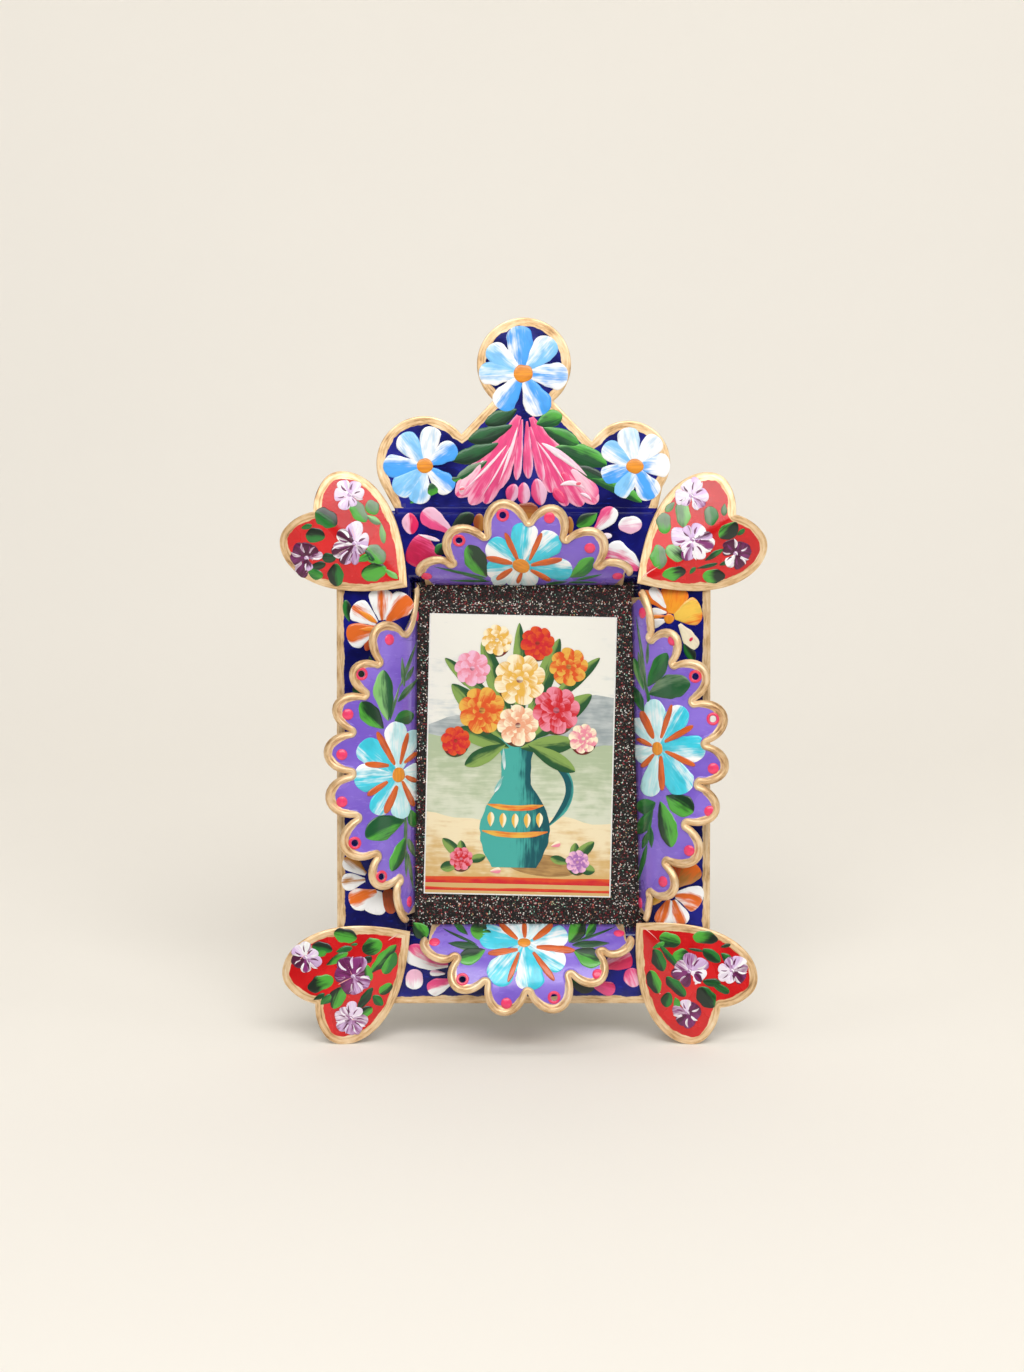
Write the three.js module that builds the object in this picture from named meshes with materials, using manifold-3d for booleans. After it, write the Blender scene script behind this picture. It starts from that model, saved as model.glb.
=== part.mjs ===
// Floral picture frame: a hand-painted tin frame with curled fans, corner hearts and a folding leg.
// Millimetres. The frame is drawn upright, X to the right, Z up, its front face at Y = 0 looking along -Y.
// The whole assembly then leans back until its two lower hearts and its leg stand on Z = 0.
import * as THREE from 'three';
import { mergeVertices } from 'three/addons/utils/BufferGeometryUtils.js';
import Module from 'manifold-3d';

const wasm = await Module();
wasm.setup();

// Sheet metal and clearances
const tin = 0.5;
const seat = 0.3;

// Stance
const lean = 8;
const legAngle = 24;

// Tray behind the painted border
const borderWidth = 101;
const borderHeight = 133.4;
const borderDepth = 10;
const borderCorner = 1.2;

// Window, measured at its front fold. The sides spread a little towards the bottom.
const windowHeight = 96.3;
const windowSill = 19.1;
const windowTopWidth = 61.8;
const windowTopShift = 0.2;
const windowBottomWidth = 65.3;
const windowBottomShift = 1.1;
const recessDepth = 4;
const recessDraft = 1.2;

// Fans: a root up the window wall, a bend over its edge, then a long curl outward
const fanRise = 58;
const fanBendRadius = 6;
const fanCurlRadius = 21.4;
const sideFanDepth = 31.6;
const topFanDepth = 29.8;
const bottomFanDepth = 30.8;
const sideFanGap = 2;
const topFanGap = 0.8;
const bottomFanGap = 3.2;
const lobeBulge = 0.62;
const endLobeBulge = 0.4;
const beadWidth = 2.2;
const beadHeight = 0.8;
const beadWeb = 0.8;
const holeRadius = 0.9;
const holePlace = 0.45;

// Corner hearts
const heartLength = 32.3;
const heartReach = 35.6;
const heartHalfWidth = 15.7;
const heartSeatHalfWidth = 12.8;
const upperTipOut = 0.6;
const upperLeftTipDrop = 2.6;
const upperRightTipDrop = 1.6;
const lowerLeftTipIn = 0.9;
const lowerLeftTipRise = 2.4;
const lowerRightTipIn = 3.3;
const lowerRightTipRise = 1.3;
const upperHeartCrease = 10;
const lowerHeartCrease = 5;

// Crest. Its lobes are measured from the middle of the border's top edge.
const crestLean = 3;
const crestBaseLeft = -34.7;
const crestBaseRight = 36;
const crestFootWidth = 58;
const crestFootDepth = 6;
const leftLobeX = -26.9;
const leftLobeHeight = 12.4;
const leftLobeRadius = 12.8;
const topLobeX = 0.1;
const topLobeHeight = 39.2;
const topLobeRadius = 12.7;
const rightLobeX = 28.2;
const rightLobeHeight = 12.7;
const rightLobeRadius = 11.3;

// Boards, card and back
const trayPlay = 0.5;
const glitterBoardThickness = 1.2;
const backingThickness = 1;
const cardWidth = 50.8;
const cardHeight = 76.2;
const cardThickness = 0.35;
const cardCentreX = -0.9;
const cardCentreHeight = 67.1;
const cardTurn = -1.3;
const tabWidth = 8;
const tabReach = 8;
const tabFlange = 1.9;
const tabSpread = 28;

// Hanging loop
const wire = 1.4;
const loopRadius = 5;
const loopStandOff = 4.6;
const loopFoot = 4;
const loopRise = 4;
const loopHeight = 30;

// Hinge and leg
const hingeDrop = 25.4;
const hingePlateWidth = 26;
const hingePlateHeight = 14;
const hingePlateTin = 0.6;
const hingeStandOff = 2.4;
const knuckleRadius = 1.8;
const knuckleWidth = 6;
const pinRadius = 0.8;
const pinHeadRadius = 1.5;
const pinHeadLength = 0.9;
const legTin = 0.8;
const legNeckWidth = 8;
const legNeckLength = 4;
const legShoulderWidth = 14;
const legShoulderLength = 8;
const legFootWidth = 20;
const legFootLength = 7;
const legRimHeight = 2.4;
const legRibWidth = 1.6;

// Finishes
const paint = (color) => new THREE.MeshStandardMaterial({ color, roughness: 0.28, metalness: 0.1 });
const bareTin = new THREE.MeshStandardMaterial({ color: 0xa9a9a4, roughness: 0.42, metalness: 0.9 });
const cobalt = paint(0x14148c);
const lavender = paint(0x8f6ccf);
const scarlet = paint(0xc8141c);
const glitter = new THREE.MeshStandardMaterial({ color: 0x1c1412, roughness: 0.5, metalness: 0.3 });
const cardStock = new THREE.MeshStandardMaterial({ color: 0xd9dcc8, roughness: 0.2, metalness: 0 });
const brownCard = new THREE.MeshStandardMaterial({ color: 0x9a7a52, roughness: 0.9, metalness: 0 });

const radians = THREE.MathUtils.degToRad;
const viewer = new THREE.Vector3(0, -1, 0);

// A closed mesh with its shared corners joined and its flat triangles dropped
function closed(geometry) {
  const bare = geometry.clone();
  bare.deleteAttribute('normal');
  bare.deleteAttribute('uv');
  const merged = mergeVertices(bare, 1e-5);
  const index = [];
  for (let i = 0; i < merged.index.count; i += 3) {
    const [a, b, c] = [0, 1, 2].map((k) => merged.index.getX(i + k));
    if (a !== b && b !== c && c !== a) {
      index.push(a, b, c);
    }
  }
  merged.setIndex(index);
  return merged;
}

function solid(geometry) {
  const mesh = closed(geometry);
  return new wasm.Manifold(new wasm.Mesh({
    numProp: 3,
    vertProperties: new Float32Array(mesh.attributes.position.array),
    triVerts: new Uint32Array(mesh.index.array),
  }));
}

function surface(body) {
  const mesh = body.getMesh();
  const geometry = new THREE.BufferGeometry();
  geometry.setAttribute('position', new THREE.BufferAttribute(mesh.vertProperties, 3));
  geometry.setIndex(new THREE.BufferAttribute(mesh.triVerts, 1));
  return geometry;
}

const union = (...geometries) => surface(geometries.map(solid).reduce((sum, body) => sum.add(body)));
const difference = (geometry, ...cuts) =>
  surface(cuts.map(solid).reduce((rest, cut) => rest.subtract(cut), solid(geometry)));

// A flat plate cut to a shape in X and Z, from Y = front back to front + thickness
function plate(shape, front, thickness, curveSegments = 10) {
  const geometry = new THREE.ExtrudeGeometry(shape, { depth: thickness, bevelEnabled: false, curveSegments });
  return geometry.rotateX(Math.PI / 2).translate(0, front + thickness, 0);
}

function block(x0, x1, y0, y1, z0, z1) {
  const geometry = new THREE.BoxGeometry(x1 - x0, y1 - y0, z1 - z0);
  return geometry.translate((x0 + x1) / 2, (y0 + y1) / 2, (z0 + z1) / 2);
}

// A solid between two four-cornered faces, both listed the same way round
function loft(first, second) {
  const index = [0, 2, 1, 0, 3, 2, 4, 5, 6, 4, 6, 7];
  for (let i = 0; i < 4; i += 1) {
    const next = (i + 1) % 4;
    index.push(i, next, next + 4, i, next + 4, i + 4);
  }
  const geometry = new THREE.BufferGeometry();
  geometry.setAttribute('position', new THREE.Float32BufferAttribute([...first, ...second].flat(), 3));
  geometry.setIndex(index);
  return geometry;
}

function roundedRectangle(width, height, radius) {
  const shape = new THREE.Shape();
  shape.absarc(width / 2 - radius, radius, radius, -Math.PI / 2, 0);
  shape.absarc(width / 2 - radius, height - radius, radius, 0, Math.PI / 2);
  shape.absarc(-width / 2 + radius, height - radius, radius, Math.PI / 2, Math.PI);
  shape.absarc(-width / 2 + radius, radius, radius, Math.PI, Math.PI * 1.5);
  return shape;
}

// A sheet of tin from a grid of surface points and their front normals
function sheet(grid, thickness) {
  const columns = grid.length;
  const rows = grid[0].length;
  const positions = [];
  for (const side of [0.5, -0.5]) {
    for (const column of grid) {
      for (const { point, normal } of column) {
        positions.push(...point.clone().addScaledVector(normal, side * thickness).toArray());
      }
    }
  }
  const at = (side, column, row) => side * columns * rows + column * rows + row;
  const index = [];
  const quad = (a, b, c, d) => index.push(a, b, c, a, c, d);
  for (let i = 0; i + 1 < columns; i += 1) {
    for (let j = 0; j + 1 < rows; j += 1) {
      quad(at(0, i, j), at(0, i + 1, j), at(0, i + 1, j + 1), at(0, i, j + 1));
      quad(at(1, i, j), at(1, i, j + 1), at(1, i + 1, j + 1), at(1, i + 1, j));
    }
    quad(at(1, i, 0), at(1, i + 1, 0), at(0, i + 1, 0), at(0, i, 0));
    quad(at(0, i, rows - 1), at(0, i + 1, rows - 1), at(1, i + 1, rows - 1), at(1, i, rows - 1));
  }
  for (let j = 0; j + 1 < rows; j += 1) {
    quad(at(0, 0, j), at(0, 0, j + 1), at(1, 0, j + 1), at(1, 0, j));
    quad(at(1, columns - 1, j), at(1, columns - 1, j + 1), at(0, columns - 1, j + 1), at(0, columns - 1, j));
  }
  const geometry = new THREE.BufferGeometry();
  geometry.setAttribute('position', new THREE.Float32BufferAttribute(positions, 3));
  geometry.setIndex(index);
  return closed(geometry);
}

function piece(name, geometry, material) {
  const mesh = new THREE.Mesh(geometry, material);
  mesh.name = name;
  return mesh;
}

// Stack of flat layers behind the window
const boardFront = recessDepth + seat;
const backingFront = boardFront + glitterBoardThickness + seat;
const coverFront = backingFront + backingThickness + seat;
const coverBack = coverFront + tin;
const hingePlateFront = coverBack + seat;
const hingeAxisY = hingePlateFront + hingePlateTin + hingeStandOff;

// The window's four corners at its front fold, clockwise from the bottom left as the viewer sees them
const windowCorners = [
  [windowBottomShift - windowBottomWidth / 2, windowSill],
  [windowTopShift - windowTopWidth / 2, windowSill + windowHeight],
  [windowTopShift + windowTopWidth / 2, windowSill + windowHeight],
  [windowBottomShift + windowBottomWidth / 2, windowSill],
];

function windowOutline(y, inset) {
  const [lowerLeft, upperLeft, upperRight, lowerRight] = windowCorners;
  return [
    [lowerLeft[0] + inset, y, lowerLeft[1] + inset],
    [lowerRight[0] - inset, y, lowerRight[1] + inset],
    [upperRight[0] - inset, y, upperRight[1] - inset],
    [upperLeft[0] + inset, y, upperLeft[1] - inset],
  ];
}

// Tray: front sheet, edges folded back, and window edges folded back as slanting walls
function borderFrame() {
  const slope = recessDraft / recessDepth;
  const wallTin = tin * Math.hypot(1, slope);
  const margin = 1;
  const wall = (y, offset) => windowOutline(y, slope * y - offset);
  const outer = plate(roundedRectangle(borderWidth, borderHeight, borderCorner), 0, borderDepth, 3);
  const hollow = block(
    -borderWidth / 2 + tin, borderWidth / 2 - tin, tin, borderDepth + margin, tin, borderHeight - tin,
  );
  const tray = difference(outer, hollow);
  const walls = loft(wall(recessDepth, wallTin), wall(tin / 2, wallTin));
  return difference(union(tray, walls), loft(wall(recessDepth + margin, 0), wall(-margin, 0)));
}

// How far out and how high a point of the fan lies when it is this far up the flat sheet
const wallTilt = Math.atan2(recessDepth, recessDraft);
const fanRoot = Math.hypot(recessDepth, recessDraft);
const fanBend = fanBendRadius * (wallTilt - radians(fanRise));

function curl(distance) {
  const rootPart = Math.min(distance, fanRoot);
  const bendTurn = THREE.MathUtils.clamp(distance - fanRoot, 0, fanBend) / fanBendRadius;
  const curlTurn = Math.max(distance - fanRoot - fanBend, 0) / fanCurlRadius;
  const bent = wallTilt - bendTurn;
  const tilt = bent - curlTurn;
  const out = rootPart * Math.cos(wallTilt)
    + fanBendRadius * (Math.sin(wallTilt) - Math.sin(bent))
    + fanCurlRadius * (Math.sin(bent) - Math.sin(tilt));
  const high = rootPart * Math.sin(wallTilt)
    + fanBendRadius * (Math.cos(bent) - Math.cos(wallTilt))
    + fanCurlRadius * (Math.cos(tilt) - Math.cos(bent));
  return { out, high, tilt };
}

function curled(along, distance, lift) {
  const { out, high, tilt } = curl(distance);
  const normal = new THREE.Vector3(0, -Math.sin(tilt), Math.cos(tilt));
  const point = new THREE.Vector3(along, out, high).addScaledVector(normal, lift);
  return { point, normal };
}

// Lobes between neighbouring notches of the flat fan. The end lobes rise straight from the base.
function fanLobes(fan) {
  const ends = [new THREE.Vector2(0, 0), new THREE.Vector2(fan.length, 0)];
  const flat = ([along, out]) => new THREE.Vector2(along * fan.length, out * fan.depth);
  const notches = fan.notches.map(flat);
  const stops = [ends[0], ...notches, ends[1]];
  return stops.slice(1).map((end, i) => {
    const start = stops[i];
    const chord = end.clone().sub(start);
    const isEnd = i === 0 || i === notches.length;
    const outward = isEnd ? new THREE.Vector2(0, 1) : new THREE.Vector2(-chord.y, chord.x).normalize();
    const bulge = chord.length() * (isEnd ? endLobeBulge : lobeBulge);
    return { start, end, chord, outward, bulge };
  });
}

// Columns of the fan's grid: each runs from its root on the body, across the lobe, to its rim
const lobeSteps = 6;
const notchSteps = 3;

function fanColumns(fan) {
  const lobes = fanLobes(fan);
  const last = lobes.length - 1;
  const inwardOf = (lobe, angle) => {
    const tangent = lobe.chord.clone().multiplyScalar(Math.sin(angle) / 2);
    tangent.addScaledVector(lobe.outward, lobe.bulge * Math.cos(angle)).normalize();
    return new THREE.Vector2(tangent.y, -tangent.x);
  };
  // A point of the body below each notch, where the columns of two lobes meet
  const joints = [new THREE.Vector2(beadWidth, 0)];
  lobes.slice(1).forEach((lobe, i) => {
    const down = lobes[i].outward.clone().add(lobe.outward).normalize().negate();
    joints.push(lobe.start.clone().addScaledVector(down, beadWidth + beadWeb));
  });
  joints.push(new THREE.Vector2(fan.length - beadWidth, 0));

  const columns = [];
  lobes.forEach((lobe, i) => {
    const side = beadWidth / lobe.chord.length();
    const firstShare = i === 0 ? 0 : side;
    const lastShare = i === last ? 1 : 1 - side;
    for (let step = 0; step <= lobeSteps; step += 1) {
      const angle = Math.PI * step / lobeSteps;
      const share = (1 - Math.cos(angle)) / 2;
      const rim = lobe.start.clone().addScaledVector(lobe.chord, share);
      rim.addScaledVector(lobe.outward, lobe.bulge * Math.sin(angle));
      const inner = rim.clone().addScaledVector(inwardOf(lobe, angle), beadWidth);
      const root = joints[i].clone().lerp(joints[i + 1], THREE.MathUtils.lerp(firstShare, lastShare, share));
      columns.push({ rim, inner, root });
    }
    if (i === last) {
      return;
    }
    // The bead turns round the notch, always the same width
    const from = inwardOf(lobe, Math.PI);
    const to = inwardOf(lobes[i + 1], 0);
    const sweep = (to.angle() - from.angle() + 2 * Math.PI) % (2 * Math.PI);
    for (let step = 1; step <= notchSteps; step += 1) {
      const turn = sweep * step / (notchSteps + 1);
      const inward = from.clone().rotateAround(new THREE.Vector2(), turn);
      const rim = lobe.end.clone();
      const inner = rim.clone().addScaledVector(inward, beadWidth);
      columns.push({ rim, inner, root: joints[i + 1].clone() });
    }
  });
  return columns;
}

const bodySteps = 3;
const lobeRows = 2;
const beadRows = 4;

function fanGeometry(fan) {
  const grid = fanColumns(fan).map(({ rim, inner, root }) => {
    const bendEnd = fanRoot + fanBend;
    const column = [0, Math.min(fanRoot, root.y), Math.min(bendEnd, root.y)].map((y) => curled(root.x, y, 0));
    for (let step = 1; step <= bodySteps; step += 1) {
      const y = THREE.MathUtils.lerp(Math.min(bendEnd, root.y), root.y, step / bodySteps);
      column.push(curled(root.x, y, 0));
    }
    for (let step = 1; step <= lobeRows; step += 1) {
      const place = root.clone().lerp(inner, step / lobeRows);
      column.push(curled(place.x, place.y, 0));
    }
    for (let step = 1; step <= beadRows; step += 1) {
      const share = step / beadRows;
      const place = inner.clone().lerp(rim, share);
      column.push(curled(place.x, place.y, beadHeight * Math.sin(Math.PI * share)));
    }
    return column;
  });
  const holes = fan.holes.map((number) => {
    const { start, chord, outward, bulge } = fanLobes(fan)[number];
    const place = start.clone().addScaledVector(chord, 0.5).addScaledVector(outward, bulge * holePlace);
    const { point, normal } = curled(place.x, place.y, 0);
    const punch = new THREE.CylinderGeometry(holeRadius, holeRadius, 4 * tin, 10);
    const turn = new THREE.Quaternion().setFromUnitVectors(new THREE.Vector3(0, 1, 0), normal);
    return punch.applyQuaternion(turn).translate(point.x, point.y, point.z);
  });
  return difference(sheet(grid, tin), ...holes);
}

// Notches as shares of the fan's length and depth. Holes are the numbers of the lobes that are punched open.
const fans = [
  {
    name: 'fan_left',
    side: [0, 1],
    gap: sideFanGap,
    depth: sideFanDepth,
    notches: [[0.13, 0.307], [0.205, 0.545], [0.322, 0.718], [0.452, 0.772],
      [0.577, 0.773], [0.688, 0.666], [0.783, 0.541], [0.874, 0.261]],
    holes: [1, 2, 6],
  },
  {
    name: 'fan_top',
    side: [1, 2],
    gap: topFanGap,
    depth: topFanDepth,
    notches: [[0.161, 0.403], [0.317, 0.684], [0.52, 0.814], [0.691, 0.658], [0.848, 0.379]],
    holes: [1, 2],
  },
  {
    name: 'fan_right',
    side: [2, 3],
    gap: sideFanGap,
    depth: sideFanDepth,
    notches: [[0.144, 0.324], [0.221, 0.555], [0.336, 0.717], [0.462, 0.814],
      [0.582, 0.745], [0.701, 0.632], [0.817, 0.434], [0.914, 0.238]],
    holes: [2, 3],
  },
  {
    name: 'fan_bottom',
    side: [3, 0],
    gap: bottomFanGap,
    depth: bottomFanDepth,
    notches: [[0.148, 0.412], [0.297, 0.632], [0.501, 0.781], [0.702, 0.697], [0.846, 0.466]],
    holes: [2, 4],
  },
];

// Each fan stands on the board just inside its window wall
function placedFan(fan) {
  const [from, to] = fan.side.map((corner) => {
    const [x, z] = windowCorners[corner];
    return new THREE.Vector3(x, recessDepth, z);
  });
  const along = to.clone().sub(from);
  const edge = along.length();
  along.normalize();
  const outward = viewer.clone().cross(along);
  const wallClearance = (seat + tin / 2) / Math.sin(wallTilt);
  const start = recessDraft + fan.gap;
  const mesh = piece(fan.name, fanGeometry({ ...fan, length: edge - 2 * start }), lavender);
  mesh.quaternion.setFromRotationMatrix(new THREE.Matrix4().makeBasis(along, outward, viewer));
  mesh.position.copy(from);
  mesh.position.addScaledVector(along, start).addScaledVector(outward, -recessDraft - wallClearance);
  return mesh;
}

// Half of a heart's outline, from its tip at the origin round one lobe to the notch
function halfHeart() {
  const path = new THREE.Path();
  const shoulder = 0.72 * heartReach;
  const lobeMiddle = 0.55 * heartHalfWidth;
  path.moveTo(0, 0);
  path.bezierCurveTo(
    0.18 * heartReach, 0.46 * heartHalfWidth, 0.44 * heartReach, heartHalfWidth, shoulder, heartHalfWidth,
  );
  path.bezierCurveTo(
    0.87 * heartReach, heartHalfWidth, heartReach, 0.82 * heartHalfWidth, heartReach, lobeMiddle,
  );
  path.bezierCurveTo(
    heartReach, 0.33 * heartHalfWidth, 0.96 * heartReach, 0.14 * heartHalfWidth, heartLength, 0,
  );
  return path.getPoints(7);
}

// A heart creased from tip to notch. It rests on the tray where its sides cross the tray's edge.
function heartGeometry(crease) {
  const slope = Math.tan(radians(crease));
  const outline = halfHeart();
  const normals = [1, 0, -1].map((side) => new THREE.Vector3(0, side * slope, 1).normalize());
  const grid = outline.map(({ x, y }, i) => {
    const spine = heartLength * i / (outline.length - 1);
    return [1, 0, -1].map((side, row) => {
      const across = side * y;
      const along = side === 0 ? spine : x;
      const high = seat + tin / 2 + (heartSeatHalfWidth - Math.abs(across)) * slope;
      return { point: new THREE.Vector3(along, across, high), normal: normals[row] };
    });
  });
  const ends = [grid[0], grid[grid.length - 1]];
  for (const end of ends) {
    for (const corner of end) {
      corner.normal = normals[1];
    }
  }
  return sheet(grid.map((column) => column.reverse()), tin);
}

// Each heart's tip lies near a corner of the window, and its axis turns from +X towards +Z
const hearts = [
  {
    name: 'heart_lower_left',
    tip: [lowerLeftTipIn, lowerLeftTipRise],
    turn: 217.4,
    crease: lowerHeartCrease,
  },
  {
    name: 'heart_upper_left',
    tip: [-upperTipOut, -upperLeftTipDrop],
    turn: 141.2,
    crease: upperHeartCrease,
  },
  {
    name: 'heart_upper_right',
    tip: [-upperTipOut, -upperRightTipDrop],
    turn: 34.9,
    crease: upperHeartCrease,
  },
  {
    name: 'heart_lower_right',
    tip: [-lowerRightTipIn, lowerRightTipRise],
    turn: -45.2,
    crease: lowerHeartCrease,
  },
];

function placedHeart({ name, tip, turn, crease }, corner) {
  const mesh = piece(name, heartGeometry(crease), scarlet);
  const axis = new THREE.Vector3(Math.cos(radians(turn)), 0, Math.sin(radians(turn)));
  const across = viewer.clone().cross(axis);
  mesh.quaternion.setFromRotationMatrix(new THREE.Matrix4().makeBasis(axis, across, viewer));
  mesh.position.set(windowCorners[corner][0] + tip[0], 0, windowCorners[corner][1] + tip[1]);
  return mesh;
}

// Crest: three lobes joined by straight slopes, with a foot flange turned back at its base
function crestGeometry() {
  const shape = new THREE.Shape();
  const lobe = (x, height, radius, from, to) => {
    shape.absarc(x, height, radius, radians(from), radians(to), true);
  };
  shape.moveTo(crestBaseRight, 0);
  shape.lineTo(crestBaseLeft, 0);
  lobe(leftLobeX, leftLobeHeight, leftLobeRadius, 212, 38);
  lobe(topLobeX, topLobeHeight, topLobeRadius, 229.5, -51.5);
  lobe(rightLobeX, rightLobeHeight, rightLobeRadius, 150, -35);
  const face = plate(shape, 0, tin, 14).rotateX(-radians(crestLean));
  const foot = block(-crestFootWidth / 2, crestFootWidth / 2, 0, crestFootDepth, 0, tin);
  return union(face, foot);
}

// Wire eye behind the crest: two soldered feet, a stand-off and a round head, as one bent wire
function loopGeometry() {
  const start = tin + seat + wire / 2;
  const side = (x) => [
    new THREE.Vector3(x, start, loopHeight),
    new THREE.Vector3(x, start, loopHeight + loopFoot),
    new THREE.Vector3(x, start + loopStandOff, loopHeight + loopFoot + loopRise),
  ];
  const headCentre = loopHeight + loopFoot + loopRise + 1;
  const head = [0, 30, 60, 90, 120, 150, 180].map((angle) => {
    const x = -loopRadius * Math.cos(radians(angle));
    return new THREE.Vector3(x, start + loopStandOff, headCentre + loopRadius * Math.sin(radians(angle)));
  });
  return tube([...side(-loopRadius), ...head, ...side(loopRadius).reverse()], wire / 2, 8);
}

// A round bar through a row of points, mitred at each
function tube(points, radius, sides) {
  const sideways = new THREE.Vector3(0, 1, 0);
  const rings = points.map((point, i) => {
    const before = point.clone().sub(points[Math.max(i - 1, 0)]).normalize();
    const after = points[Math.min(i + 1, points.length - 1)].clone().sub(point).normalize();
    const forward = before.clone().add(after).normalize();
    const across = new THREE.Vector3().crossVectors(sideways, forward).normalize();
    const up = new THREE.Vector3().crossVectors(forward, across).normalize();
    return Array.from({ length: sides }, (_, k) => {
      const angle = 2 * Math.PI * k / sides;
      const corner = point.clone().addScaledVector(across, radius * Math.cos(angle));
      return corner.addScaledVector(up, radius * Math.sin(angle));
    });
  });
  const positions = [...rings.flat(), points[0], points[points.length - 1]].flatMap((p) => p.toArray());
  const index = [];
  const first = rings.length * sides;
  for (let k = 0; k < sides; k += 1) {
    const next = (k + 1) % sides;
    for (let i = 0; i + 1 < rings.length; i += 1) {
      const [a, b, c, d] = [i * sides + k, i * sides + next, (i + 1) * sides + next, (i + 1) * sides + k];
      index.push(a, b, c, a, c, d);
    }
    index.push(first, next, k);
    index.push(first + 1, first - sides + k, first - sides + next);
  }
  const geometry = new THREE.BufferGeometry();
  geometry.setAttribute('position', new THREE.Float32BufferAttribute(positions, 3));
  geometry.setIndex(index);
  return geometry;
}

// A bent strip: one leg flat on the cover, one leg along the inside of the tray's edge
function tabGeometry() {
  const profile = new THREE.Shape([
    new THREE.Vector2(0, 0),
    new THREE.Vector2(tabReach, 0),
    new THREE.Vector2(tabReach, tin),
    new THREE.Vector2(tin, tin),
    new THREE.Vector2(tin, tabFlange),
    new THREE.Vector2(0, tabFlange),
  ]);
  const geometry = new THREE.ExtrudeGeometry(profile, { depth: tabWidth, bevelEnabled: false });
  return geometry.translate(0, 0, -tabWidth / 2);
}

// Each tab stands at an edge of the tray and points inward
const tabEdge = tin + seat;
const tabs = [
  { name: 'tab_top_left', x: -tabSpread, z: borderHeight - tabEdge, inward: [0, 0, -1] },
  { name: 'tab_top_right', x: tabSpread, z: borderHeight - tabEdge, inward: [0, 0, -1] },
  { name: 'tab_left', x: -borderWidth / 2 + tabEdge, z: borderHeight / 2, inward: [1, 0, 0] },
  { name: 'tab_right', x: borderWidth / 2 - tabEdge, z: borderHeight / 2, inward: [-1, 0, 0] },
  { name: 'tab_bottom_left', x: -tabSpread, z: tabEdge, inward: [0, 0, 1] },
  { name: 'tab_bottom_right', x: tabSpread, z: tabEdge, inward: [0, 0, 1] },
];

function placedTab({ name, x, z, inward }) {
  const mesh = piece(name, tabGeometry(), bareTin);
  const reach = new THREE.Vector3(...inward);
  const back = new THREE.Vector3(0, 1, 0);
  const wide = reach.clone().cross(back);
  mesh.quaternion.setFromRotationMatrix(new THREE.Matrix4().makeBasis(reach, back, wide));
  mesh.position.set(x, coverBack + seat, z);
  return mesh;
}

function boardShape(play) {
  const halfWidth = borderWidth / 2 - tin - play;
  const low = tin + play;
  const high = borderHeight - tin - play;
  return new THREE.Shape([
    new THREE.Vector2(-halfWidth, low),
    new THREE.Vector2(halfWidth, low),
    new THREE.Vector2(halfWidth, high),
    new THREE.Vector2(-halfWidth, high),
  ]);
}

// A barrel round the hinge axis, from x0 to x1
function barrel(x0, x1, radius) {
  const geometry = new THREE.CylinderGeometry(radius, radius, x1 - x0, 16);
  return geometry.rotateZ(Math.PI / 2).translate((x0 + x1) / 2, 0, 0);
}

const boreRadius = pinRadius + seat;
const knuckleInner = legNeckWidth / 2 + seat;
const knuckleOuter = knuckleInner + knuckleWidth;

// Hinge bracket in the hinge's own axes: a flat plate with two rolled knuckles that stand off it
function hingePlateGeometry() {
  const face = -hingeStandOff;
  const halfWidth = hingePlateWidth / 2;
  const halfHeight = hingePlateHeight / 2;
  const foot = block(-halfWidth, halfWidth, face - hingePlateTin, face, -halfHeight, halfHeight);
  const spans = [[-knuckleOuter, -knuckleInner], [knuckleInner, knuckleOuter]];
  const knuckles = spans.map(([x0, x1]) => barrel(x0, x1, knuckleRadius));
  const webTop = -boreRadius - 0.1;
  const webs = spans.map(([x0, x1]) => block(x0, x1, face - hingePlateTin / 2, 0, -knuckleRadius, webTop));
  return difference(union(foot, ...knuckles, ...webs), barrel(-hingePlateWidth, hingePlateWidth, boreRadius));
}

function hingePinGeometry() {
  const head = knuckleOuter + seat;
  const tip = head + pinHeadLength;
  const profile = [
    [0, -tip], [pinHeadRadius, -tip], [pinHeadRadius, -head], [pinRadius, -head],
    [pinRadius, head], [pinHeadRadius, head], [pinHeadRadius, tip], [0, tip],
  ].map(([x, y]) => new THREE.Vector2(x, y));
  return new THREE.LatheGeometry(profile, 16).rotateZ(Math.PI / 2);
}

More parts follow.
